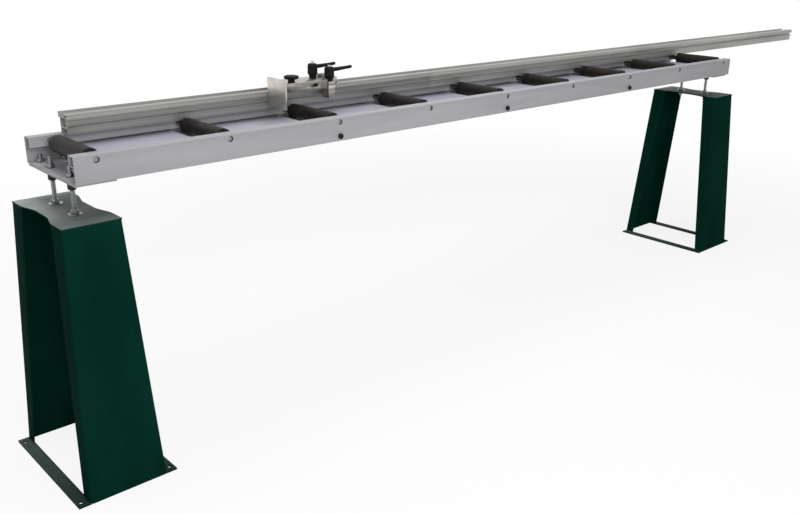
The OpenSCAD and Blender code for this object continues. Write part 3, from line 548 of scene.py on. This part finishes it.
def new_tree(name, inputs):
    """An empty geometry tree with named inputs. Returns it with the sockets that give them."""
    tree = bpy.data.node_groups.new(name, "GeometryNodeTree")
    tree.interface.new_socket("Geometry", in_out="INPUT", socket_type="NodeSocketGeometry")
    for label, kind in inputs.items():
        tree.interface.new_socket(label, in_out="INPUT", socket_type=kind)
    tree.interface.new_socket("Geometry", in_out="OUTPUT", socket_type="NodeSocketGeometry")
    return tree, add(tree, "NodeGroupInput").outputs


def finished_tree(tree, geometry, material):
    """Ends a tree: copies become real and take their material."""
    real = add(tree, "GeometryNodeRealizeInstances", None, {"Geometry": geometry})
    painted = add(tree, "GeometryNodeSetMaterial", None,
                  {"Geometry": real.outputs[0], "Material": material})
    add(tree, "NodeGroupOutput", None, {"Geometry": painted.outputs[0]})
    return tree


def setting_out_tree():
    """Sets a copy of a shape on every point, turned by a seeded random angle and then stood along
    the point's aim."""
    tree, given = new_tree("setting_out", {
        "Shape": "NodeSocketObject", "Largest Turn": "NodeSocketFloat", "Seed": "NodeSocketInt",
        "Material": "NodeSocketMaterial"})
    aim = add(tree, "GeometryNodeInputNamedAttribute", {"data_type": "FLOAT_VECTOR"},
              {"Name": "aim"})
    # Socket 3 is the largest value of a random number
    turn = add(tree, "FunctionNodeRandomValue", {"data_type": "FLOAT"},
               {3: given["Largest Turn"], "Seed": given["Seed"]})
    spin = add(tree, "ShaderNodeCombineXYZ", None, {"Z": turn.outputs[1]})
    as_turn = add(tree, "FunctionNodeEulerToRotation", None, {0: spin.outputs[0]})
    stand = add(tree, "FunctionNodeAlignRotationToVector", {"axis": "Z"},
                {"Vector": aim.outputs[0]})
    both = add(tree, "FunctionNodeRotateRotation", {"rotation_space": "LOCAL"},
               {"Rotation": stand.outputs[0], "Rotate By": as_turn.outputs[0]})
    shape = add(tree, "GeometryNodeObjectInfo", {"transform_space": "ORIGINAL"},
                {"Object": given["Shape"]})
    points = add(tree, "GeometryNodeMeshToPoints", None, {"Mesh": given["Geometry"]})
    copies = add(tree, "GeometryNodeInstanceOnPoints", None, {
        "Points": points.outputs[0], "Instance": shape.outputs["Geometry"],
        "Rotation": both.outputs[0]})
    return finished_tree(tree, copies.outputs[0], given["Material"])


def thread_tree():
    """Stands a core on every point and winds a screw thread round it, as a ridge of four sides."""
    tree, given = new_tree("thread", {
        "Major Radius": "NodeSocketFloat", "Depth": "NodeSocketFloat", "Pitch": "NodeSocketFloat",
        "Length": "NodeSocketFloat", "Steps per Turn": "NodeSocketInt",
        "Material": "NodeSocketMaterial"})
    size = {label: given[label] for label in ("Major Radius", "Depth", "Pitch", "Length")}
    ridge_share, core_sides = 0.67, 32
    for label, operation, first, second in (
            ("core radius", "SUBTRACT", "Major Radius", "Depth"),
            ("run", "SUBTRACT", "Length", "Pitch"),
            ("turns", "DIVIDE", "run", "Pitch"),
            ("ridge radius", "MULTIPLY", "Depth", ridge_share),
            ("winding radius", "SUBTRACT", "Major Radius", "ridge radius"),
            ("half pitch", "MULTIPLY", "Pitch", 0.5),
            ("half length", "MULTIPLY", "Length", 0.5)):
        size[label] = add(tree, "ShaderNodeMath", {"operation": operation},
                          {0: size[first], 1: size.get(second, second)}).outputs[0]
    helix = add(tree, "GeometryNodeCurveSpiral", None, {
        "Resolution": given["Steps per Turn"], "Rotations": size["turns"],
        "Start Radius": size["winding radius"], "End Radius": size["winding radius"],
        "Height": size["run"]})
    section = add(tree, "GeometryNodeCurvePrimitiveCircle", None, {
        "Resolution": 4, "Radius": size["ridge radius"]})
    ridge = add(tree, "GeometryNodeCurveToMesh", None, {
        "Curve": helix.outputs[0], "Profile Curve": section.outputs[0], "Fill Caps": True})
    core = add(tree, "GeometryNodeMeshCylinder", None, {
        "Vertices": core_sides, "Radius": size["core radius"], "Depth": size["Length"]})
    whole = add(tree, "GeometryNodeJoinGeometry")
    for shape, rise in ((ridge, "half pitch"), (core, "half length")):
        lift = add(tree, "ShaderNodeCombineXYZ", None, {"Z": size[rise]})
        stood = add(tree, "GeometryNodeTransform", None,
                    {"Geometry": shape.outputs[0], "Translation": lift.outputs[0]})
        tree.links.new(stood.outputs[0], whole.inputs[0])
    points = add(tree, "GeometryNodeMeshToPoints", None, {"Mesh": given["Geometry"]})
    copies = add(tree, "GeometryNodeInstanceOnPoints", None, {
        "Points": points.outputs[0], "Instance": whole.outputs[0]})
    return finished_tree(tree, copies.outputs[0], given["Material"])


def weld_tree():
    """Lays a weld bead along edges: overlapping flattened drops of slightly different sizes."""
    tree, given = new_tree("weld", {
        "Width": "NodeSocketFloat", "Step": "NodeSocketFloat", "Seed": "NodeSocketInt",
        "Material": "NodeSocketMaterial"})
    smallest, largest, flattened = 0.42, 0.55, (0.8, 1.0, 0.9)
    path = add(tree, "GeometryNodeMeshToCurve", None, {"Mesh": given["Geometry"]})
    even = add(tree, "GeometryNodeResampleCurve", {"mode": "LENGTH"},
               {"Curve": path.outputs[0], "Length": given["Step"]})
    drop = add(tree, "GeometryNodeMeshUVSphere", None,
               {"Segments": 12, "Rings": 8, "Radius": given["Width"]})
    along = add(tree, "GeometryNodeInputTangent")
    aim = add(tree, "FunctionNodeAlignRotationToVector", {"axis": "X"},
              {"Vector": along.outputs[0]})
    # Sockets 2 and 3 are the smallest and largest value of a random number
    size = add(tree, "FunctionNodeRandomValue", {"data_type": "FLOAT"},
               {2: smallest, 3: largest, "Seed": given["Seed"]})
    squashed = add(tree, "ShaderNodeVectorMath", {"operation": "SCALE"},
                   {0: flattened, "Scale": size.outputs[1]})
    drops = add(tree, "GeometryNodeInstanceOnPoints", None, {
        "Points": even.outputs[0], "Instance": drop.outputs["Mesh"],
        "Rotation": aim.outputs[0], "Scale": squashed.outputs[0]})
    return finished_tree(tree, drops.outputs[0], given["Material"])


SETTING_OUT = setting_out_tree()
WELD = weld_tree()
THREAD = thread_tree()


def grown(name, node, places, tree, values, aims=None, edges=()):
    """Runs a geometry tree on a set of points, in a node's material, and keeps its result as a
    plain mesh."""
    mesh = bpy.data.meshes.new(name)
    mesh.from_pydata([tuple(p) for p in places], list(edges), [])
    if aims:
        aim = mesh.attributes.new("aim", "FLOAT_VECTOR", "POINT")
        for i, direction in enumerate(aims):
            aim.data[i].vector = direction
    piece = linked(name, mesh)
    modifier = piece.modifiers.new(name, "NODES")
    modifier.node_group = tree
    sockets = {s.name: s.identifier for s in tree.interface.items_tree
               if s.item_type == "SOCKET" and s.in_out == "INPUT"}
    for label, value in {**values, "Material": MATERIALS[SLOT_OF[node]]}.items():
        modifier[sockets[label]] = value
    frozen(piece)
    piece.data.set_sharp_from_angle(angle=SHARP_ANGLE)
    return piece


def set_out(name, node, shape, places, aims, seed):
    """Copies of a shape on points, each stood along its aim."""
    return grown(name, node, places, SETTING_OUT,
                 {"Shape": shape, "Largest Turn": math.tau, "Seed": seed}, aims)


def threaded(name, node, feet, radius, length, thread):
    """Screw threads that stand on their feet."""
    return grown(name, node, feet, THREAD, {"Major Radius": radius, "Length": length, **thread})


def hardware(node, shape, places, aims, seed):
    """Copies of a nut or a washer that stand for their node."""
    return dressed(set_out(node + "_set", node, shape, places, aims, seed), node)


# Places read from the frame

def middle(node):
    """The middle of a node's box."""
    low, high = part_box(node)
    return (low + high) / 2


def at_height(spots, z):
    """Places at one height from spots of x and y."""
    return [Vector((x, y, z)) for x, y in spots]


def turning_axis(node):
    """Where the axis that a node turns about stands, as x and y."""
    joint = next(j for j in frame["joints"] if j["child"] == BODY_OF[node])
    return joint["pos_m"][0], joint["pos_m"][1]


def rod_axes(side):
    """Where a stand's two levelling rods stand, as x and y, and their radius."""
    rods = side + "_rods"
    low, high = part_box(rods)
    radius = (high.x - low.x) / 2
    return [(middle(rods).x, y) for y in (low.y + radius, high.y - radius)], radius


# The stands

def stand_leg(node, back):
    """A folded leg: a leaning web and two flanges as one bent sheet with round folds, welded to the
    base strips. The flanges stand on the strips and the web between them on the floor."""
    side = node.split("_")[0]
    low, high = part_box(node)
    plate_low, plate_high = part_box(side + "_top_plate")
    strip_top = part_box(side + "_base_strips")[1].z
    centre = (plate_low.x + plate_high.x) / 2
    sign = 1 if back else -1
    box_half = (high.x - low.x) / 2
    foot_half = box_half + box_half * strip_top / high.z * WEB_TAPER
    top_half = (plate_high.x - plate_low.x) / 2
    foot_web, top_web = (high.y, plate_high.y) if back else (low.y, plate_low.y)
    fold_steps, leg_steps = 6, 8

    def section(share, height):
        """The sheet's outline at a share of the leg's height: its outer side, and then its inner
        side back. height is a z for all of it, or gives one for each x."""
        half = foot_half + (top_half - foot_half) * share
        web = foot_web + (top_web - foot_web) * share
        end = web - sign * (FLANGE_FOOT + (FLANGE_TOP - FLANGE_FOOT) * share)
        points = []
        for inset, order in ((0.0, 1), (LEG_SHEET, -1)):
            radius = LEG_FOLD - inset
            run = [(-half + inset, end)]
            for i in range(fold_steps + 1):
                turn = math.pi / 2 * i / fold_steps
                run.append((-half + LEG_FOLD - radius * math.cos(turn),
                            web - sign * (LEG_FOLD - radius * math.sin(turn))))
            run += [(-x, y) for x, y in reversed(run)]
            points += run[::order]
        return [Vector((centre + x, y, height(x) if callable(height) else height))
                for x, y in points]

    on_strip = foot_half - LEG_SHEET - 0.5 * MM
    rings = [section(0.0, lambda x: strip_top if abs(x) > on_strip else 0.0)]
    rings += [section(i / leg_steps, high.z * i / leg_steps) for i in range(1, leg_steps + 1)]
    leg = mesh_object(node + "_sheet", skinned(rings))
    weld_start, weld_end = 8 * MM, FLANGE_FOOT - 2 * MM
    ends = [Vector((centre + x, foot_web - sign * along, strip_top))
            for x in (-foot_half, foot_half) for along in (weld_start, weld_end)]
    beads = grown(node + "_welds", node, ends, WELD,
                  {"Width": 4 * MM, "Step": 1.4 * MM, "Seed": 11}, edges=((0, 1), (2, 3)))
    made = joined(node + "_folded", [leg, beads])
    made.data.set_sharp_from_angle(angle=SHARP_ANGLE)
    return dressed(made, node)


def stand_top(node):
    """A stand's top plate: waisted sides with broken edges, and a round fold at the front and back
    whose own facets turn too little to be broken."""
    bm = cad_copy(node)
    low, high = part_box(node)
    near, fold, edge_width, least_angle = 0.05 * MM, 4 * MM, 0.7 * MM, math.radians(50)
    folds = [e for e in bm.edges if all(
        abs(v.co.z - high.z) < near and min(abs(v.co.y - low.y), abs(v.co.y - high.y)) < near
        for v in e.verts)]
    bmesh.ops.bevel(bm, geom=folds, offset=fold, segments=5, profile=0.5, affect="EDGES",
                    clamp_overlap=True)
    piece = mesh_object(node + "_folded", bm)
    return dressed(broken_edges(piece, edge_width, least_angle), node)


# Levelling rods and fasteners

def levelling_rods(side):
    """The threaded rods of a stand, with their nuts and washers on both sides of its top plate."""
    axes, radius = rod_axes(side)
    low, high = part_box(side + "_rods")
    plate_low, plate_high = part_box(side + "_top_plate")
    washer_low, washer_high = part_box(side + "_rod_washers")
    nut_low, nut_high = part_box(side + "_rod_nuts")
    rods = threaded(side + "_rods_threaded", side + "_rods", at_height(axes, low.z), radius,
                    high.z - low.z, M12_THREAD)
    dressed(rods, side + "_rods")
    nut = nut_template(side + "_nut_shape", nut_high.x - nut_low.x, nut_high.z - washer_high.z,
                       2 * radius)
    washer = washer_template(side + "_washer_shape", washer_high.x - washer_low.x, 2 * radius,
                             washer_high.z - plate_high.z)
    aims = [UP, DOWN] * len(axes)
    for node, shape, top, underside, seed in (
            (side + "_rod_nuts", nut, washer_high.z, washer_low.z, 3),
            (side + "_rod_washers", washer, plate_high.z, plate_low.z, 4)):
        places = [Vector((x, y, z)) for x, y in axes for z in (top, underside)]
        hardware(node, shape, places, aims, seed)


def lock_nuts():
    """The lock nuts on top of both adapter plates and the long black nuts under them. The rods
    slide through both with a little play."""
    near_axes, radius = rod_axes("near")
    spots = near_axes + rod_axes("far")[0]
    play = 0.3 * MM
    for node, aim in (("rod_lock_nuts", UP), ("rod_long_nuts", DOWN)):
        low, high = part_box(node)
        nut = nut_template(node + "_shape", M12_FLATS, high.z - low.z, 2 * (radius + play))
        places = at_height(spots, low.z if aim is UP else high.z)
        hardware(node, nut, places, [aim] * len(spots), seed=9)


def plate_fasteners():
    """The countersunk bolts that join the adapter plates to the rails' foot flanges, with their
    nuts."""
    low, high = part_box("plate_bolts")
    nuts_low, nuts_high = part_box("plate_bolt_nuts")
    plate_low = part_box("near_adapter_plate")[0].z
    head_d, head_depth, socket, pitch = 19 * MM, 5 * MM, 6 * MM, 60 * MM
    edge = head_d / 2
    xs = (low.x + edge, low.x + edge + pitch, high.x - edge - pitch, high.x - edge)
    spots = [(x, y) for x in xs for y in (low.y + edge, high.y - edge)]
    places = at_height(spots, plate_low)
    head = countersunk_template("bolt_head_shape", head_d, 2 * M10_RADIUS, head_depth, socket)
    heads = set_out("plate_bolt_heads", "plate_bolts", head, places, [DOWN] * len(spots), seed=5)
    shanks = threaded("plate_bolt_shanks", "plate_bolts", places, M10_RADIUS,
                      high.z - plate_low, M10_THREAD)
    dressed(joined("plate_bolts_made", [heads, shanks]), "plate_bolts")
    nut = nut_template("bolt_nut_shape", M10_FLATS, nuts_high.z - nuts_low.z, 2 * M10_RADIUS)
    hardware("plate_bolt_nuts", nut, at_height(spots, nuts_low.z), [UP] * len(spots), seed=6)


def tie_screws():
    """Black cap screws through the rails into the cross ties, three on each side."""
    low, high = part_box("tie_screws")
    front_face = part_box("front_rail")[0].y
    back_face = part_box("back_rail")[1].y
    head_d = high.z - low.z
    socket, shank_r, shank_length = 8 * MM, 4 * MM, 25 * MM
    z = (low.z + high.z) / 2
    xs = (low.x + head_d / 2, (low.x + high.x) / 2, high.x - head_d / 2)
    places = [Vector((x, y, z)) for x in xs for y in (front_face, back_face)]
    aims = [FRONT, BACK] * len(xs)
    head = socket_head_template("tie_head_shape", head_d, front_face - low.y, socket)
    rows = [(shank_r, 0), (shank_r, shank_length)]
    shank = template("tie_shank_shape", skinned(turned(rows, sides=24)))
    heads = set_out("tie_screw_heads", "tie_screws", head, places, aims, seed=7)
    shanks = set_out("tie_screw_shanks", "tie_screws", shank, places, [-a for a in aims], seed=8)
    dressed(joined("tie_screws_made", [heads, shanks]), "tie_screws")


# The rollers

def roller(node):
    """A roller: a tube with round shoulders, a groove near each end and the recess of its bearing
    seat."""
    low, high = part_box(node)
    mid = middle(node)
    radius = (high.z - low.z) / 2
    length = high.y - low.y
    bore, seat_r, seat_depth, lip = 6.5 * MM, 14.05 * MM, 8 * MM, 0.6 * MM
    shoulder, collar, groove = 1.2 * MM, 5 * MM, 0.5 * MM
    half = [(bore, seat_depth), (seat_r, seat_depth), (seat_r, lip), (seat_r + lip, 0),
            (radius - shoulder, 0)]
    half += [(radius - shoulder * (1 - math.sin(t)), shoulder * (1 - math.cos(t)))
             for t in (math.pi / 6, math.pi / 3, math.pi / 2)]
    half += [(radius, collar), (radius - groove, collar + groove / 2),
             (radius - groove, collar + groove), (radius, collar + 1.5 * groove)]
    rows = half + [(r, length - z) for r, z in reversed(half)] + half[:1]
    bm = skinned(turned(rows, sides=72), closed_ends=False)
    laid = Matrix.Rotation(-math.pi / 2, 4, "X")
    bmesh.ops.transform(bm, verts=bm.verts,
                        matrix=Matrix.Translation((mid.x, low.y, mid.z)) @ laid)
    return dressed(mesh_object(node + "_turned", bm), node)


# The length stop

def squarish(value):
    """Pushes a circle's sine or cosine outwards, which gives a section a little like a square."""
    return math.copysign(abs(value) ** 0.8, value)


def lever_handle(node):
    """A clamping lever: a skirted hub with a collar, and a tapered arm that swells before its round
    tip."""
    low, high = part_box(node)
    x, y = turning_axis(node)

    # The hub from its underside up and back down its bore, in millimetres: radius, height, flutes
    top = (high.z - low.z) / MM
    hub = (high.y - low.y) / 2 / MM
    neck, bore, flute = 11, 4.05, 0.8
    rows = [(bore, 0, 0), (neck - 0.6, 0, 0), (neck, 0.6, 0), (neck, 6, 0), (neck + 1, 7.5, 0),
            (hub - 1, 13, 0), (hub, 15, 0), (hub, 16, 0), (hub - 0.6, 17, flute),
            (hub - 0.8, top - 8, flute), (hub - 1.2, top - 6, 0), (hub - 2.2, top - 2.5, 0),
            (hub - 4.5, top - 0.4, 0), (hub - 6, top, 0), (5.6, top, 0), (5.2, top - 0.8, 0),
            (bore, top - 0.8, 0), (bore, 0, 0)]
    rings = moved(grip(rows, flutes=16, sides=128), Vector((x, y, low.z)))
    hub_piece = mesh_object(node + "_hub", skinned(rings, closed_ends=False))

    # The arm from inside the hub to its tip. Its half width and height start thick, taper along it,
    # swell at a share of its length and close round at the tip. Its middle rises in a curve
    start, steps, sides = 8 * MM, 22, 20
    swell_at, swell_reach, tip_at, tip_reach = 0.88, 0.12, 0.94, 0.0605
    rings = []
    for i in range(steps + 1):
        share = i / steps
        swell = math.exp(-((share - swell_at) / swell_reach) ** 2)
        width = (7.2 - 3.0 * share + 0.9 * swell) * MM
        height = (6.6 - 2.6 * share + 0.6 * swell) * MM
        if share > tip_at:
            closing = math.sqrt(max(0.0, 1 - ((share - tip_at) / tip_reach) ** 2))
            width *= closing
            height *= closing
        along = x + start + (high.x - x - start) * share
        rise = high.z + (-10.2 + 4.2 * share ** 1.4) * MM
        turns = [math.tau * k / sides for k in range(sides)]
        rings.append([Vector((along, y + width * squarish(math.cos(t)),
                              rise + height * squarish(math.sin(t)))) for t in turns])
    arm_piece = mesh_object(node + "_arm", skinned(rings))
    return dressed(smoothed(joined(node + "_moulded", [hub_piece, arm_piece])), node)


def lever_stud(node, lever):
    """A lever's stud: a bright head with a broken rim and a shallow round hole in its top."""
    low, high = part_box(node)
    mid = middle(node)
    lever_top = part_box(lever)[1].z
    stud_r, head_r, rim = 4 * MM, (high.x - low.x) / 2, 1.2 * MM
    rows = [(stud_r, low.z), (stud_r, lever_top - 1 * MM), (head_r, lever_top - 0.8 * MM),
            (head_r, high.z - rim), (head_r - rim, high.z), (2.6 * MM, high.z),
            (2.4 * MM, high.z - 2 * MM)]
    rings = moved(turned(rows, sides=40), Vector((mid.x, mid.y, 0)))
    return dressed(mesh_object(node + "_turned", skinned(rings)), node)


def knob(node):
    """The round knob: a fluted head with a dished top on a slim neck, over its screw."""
    low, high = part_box(node)
    x, y = turning_axis(node)

    # From the screw's end up, in millimetres: radius, height, flutes
    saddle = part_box("stop_saddle")[1].z / MM
    under, top, head = saddle + 10, high.z / MM, (high.x - low.x) / 2 / MM
    screw, neck, flute = 4, 10.5, 1.6
    rows = [(screw, low.z / MM, 0), (screw, saddle, 0), (neck - 0.5, saddle, 0),
            (neck, saddle + 0.6, 0), (neck, under - 2, 0), (12.5, under, 0),
            (head - 3, under, flute * 0.5), (head - 0.8, under + 1.2, flute),
            (head, under + 3, flute), (head, top - 3.5, flute), (head - 0.9, top - 1.6, flute),
            (head - 3, top - 0.4, flute * 0.4), (head - 5, top, 0), (head - 7.5, top - 0.3, 0),
            (head - 9, top - 1.1, 0), (3, top - 1.3, 0)]
    rings = moved(grip(rows, flutes=12, sides=144), Vector((x, y, 0)))
    return dressed(mesh_object(node + "_moulded", skinned(rings)), node)


# The pieces

for edge_width, plain_nodes in (
        (0.35 * MM, ("front_rail", "back_rail")),
        (0.3 * MM, (*COVERS, "near_guide_rail", "far_guide_rail")),
        (0.6 * MM, ("near_adapter_plate", "far_adapter_plate")),
        (0.5 * MM, ("guide_brackets", "index_block", "clamp_jaw", "stop_plate", "stop_bar",
                    "jaw_spacer")),
        (0.8 * MM, ("stop_saddle",)),
        (0.6 * MM, ("near_base_strips", "far_base_strips"))):
    for plain_node in plain_nodes:
        finished(plain_node, edge_width)
for roller_node in ROLLERS:
    roller(roller_node)
for stand in ("near", "far"):
    stand_top(stand + "_top_plate")
    stand_leg(stand + "_front_leg", back=False)
    stand_leg(stand + "_back_leg", back=True)
for stand in ("near", "far"):
    levelling_rods(stand)
lock_nuts()
plate_fasteners()
tie_screws()
for handle in ("lever_a", "lever_b"):
    lever_handle(handle)
    lever_stud(handle + "_stud", handle)
knob("clamp_knob")
for cad_node, obj in frame["nodes"].items():
    if not obj.hide_render:
        obj.data.materials.clear()
        obj.data.materials.append(MATERIALS[SLOT_OF[cad_node]])


# Stage, light and camera

def seen_plainly(tree):
    """1 for what the camera, gloss and glass see, and 0 for the light that falls on the object."""
    path = add(tree, "ShaderNodeLightPath")
    seen = path.outputs["Is Camera Ray"]
    for ray in ("Is Glossy Ray", "Is Transmission Ray"):
        seen = add(tree, "ShaderNodeMath", {"operation": "MAXIMUM"},
                   {0: seen, 1: path.outputs[ray]}).outputs[0]
    return seen


def stage_surface():
    """Plain pale floor. What is seen of it is lifted towards white, all the way at a distance, and
    the shadow near the object is kept."""
    material, tree, coords = new_material("stage_floor")
    lift_near, lifted_from, white_from = 0.84, 1.6, 3.4
    speckle = clouds_of(tree, coords, 12 * MM, detail=2.0)
    tone = laid_over(tree, "#E9E9E7", "#EDEDEB", speckle)
    diffuse = add(tree, "ShaderNodeBsdfDiffuse", None, {"Color": tone})
    white = add(tree, "ShaderNodeEmission", None, {"Color": (1, 1, 1, 1), "Strength": 1.0})
    away = add(tree, "ShaderNodeVectorMath", {"operation": "LENGTH"}, {0: coords})
    lift = add(tree, "ShaderNodeMapRange", None, {
        "Value": away.outputs["Value"], "From Min": lifted_from, "From Max": white_from,
        "To Min": lift_near, "To Max": 1.0})
    share = add(tree, "ShaderNodeMath", {"operation": "MULTIPLY"},
                {0: seen_plainly(tree), 1: lift.outputs[0]})
    blend = add(tree, "ShaderNodeMixShader", None,
                {"Fac": share.outputs[0], 1: diffuse.outputs[0], 2: white.outputs[0]})
    add(tree, "ShaderNodeOutputMaterial", None, {"Surface": blend.outputs[0]})
    return material


def stage_floor(reach):
    """A square floor that reaches far beyond the object."""
    bm = bmesh.new()
    bmesh.ops.create_grid(bm, x_segments=1, y_segments=1, size=reach)
    floor = mesh_object("stage_floor", bm)
    floor.data.materials.append(stage_surface())


def world_light(strength):
    """Even surroundings that light the object by a strength and are seen as plain white."""
    world = bpy.data.worlds.new("studio")
    bpy.context.scene.world = world
    world.use_nodes = True
    tree = world.node_tree
    tree.nodes.clear()
    level = add(tree, "ShaderNodeMapRange", None, {
        "Value": seen_plainly(tree), "To Min": strength, "To Max": 1.0})
    sky = add(tree, "ShaderNodeBackground", None,
              {"Color": (1, 1, 1, 1), "Strength": level.outputs[0]})
    add(tree, "ShaderNodeOutputWorld", None, {"Surface": sky.outputs[0]})


def soft_lamp(name, place, target, size, power):
    """A square soft box aimed at a point. Metal doesn't show its bright square, only the plain
    surroundings."""
    lamp = bpy.data.lights.new(name, "AREA")
    lamp.shape = "SQUARE"
    lamp.size = size
    lamp.energy = power
    made = linked(name, lamp)
    made.location = place
    made.visible_glossy = False
    made.rotation_mode = "QUATERNION"
    made.rotation_quaternion = (Vector(target) - Vector(place)).to_track_quat("-Z", "Y")


def photo_camera():
    """The camera, from the yaw, pitch and roll that were fitted to the photograph."""
    ahead = Vector((math.cos(CAMERA_PITCH) * math.cos(CAMERA_YAW),
                    math.cos(CAMERA_PITCH) * math.sin(CAMERA_YAW), math.sin(CAMERA_PITCH)))
    level = Vector((math.sin(CAMERA_YAW), -math.cos(CAMERA_YAW), 0))
    above = level.cross(ahead)
    right = level * math.cos(CAMERA_ROLL) + above * math.sin(CAMERA_ROLL)
    up = above * math.cos(CAMERA_ROLL) - level * math.sin(CAMERA_ROLL)
    lens = bpy.data.cameras.new("camera")
    lens.sensor_fit = "HORIZONTAL"
    lens.sensor_width = SENSOR_WIDTH
    lens.lens = FOCAL_PIXELS * SENSOR_WIDTH / FRAME_WIDTH
    lens.clip_start = 0.05
    lens.clip_end = 200
    made = linked("camera", lens)
    turn = Matrix((right, up, -ahead)).transposed().to_4x4()
    made.matrix_world = Matrix.Translation(CAMERA_PLACE) @ turn
    bpy.context.scene.camera = made


stage_floor(reach=30)
world_light(strength=0.29)
soft_lamp("key", place=(-2.4, -3.5, 2.1), target=(-0.9, 0.0, 0.7), size=2.0, power=88)
soft_lamp("top", place=(-0.9, -0.2, 3.8), target=(-0.9, 0.0, 0.8), size=3.0, power=92)
photo_camera()
bpy.context.scene.view_settings.view_transform = "Standard"
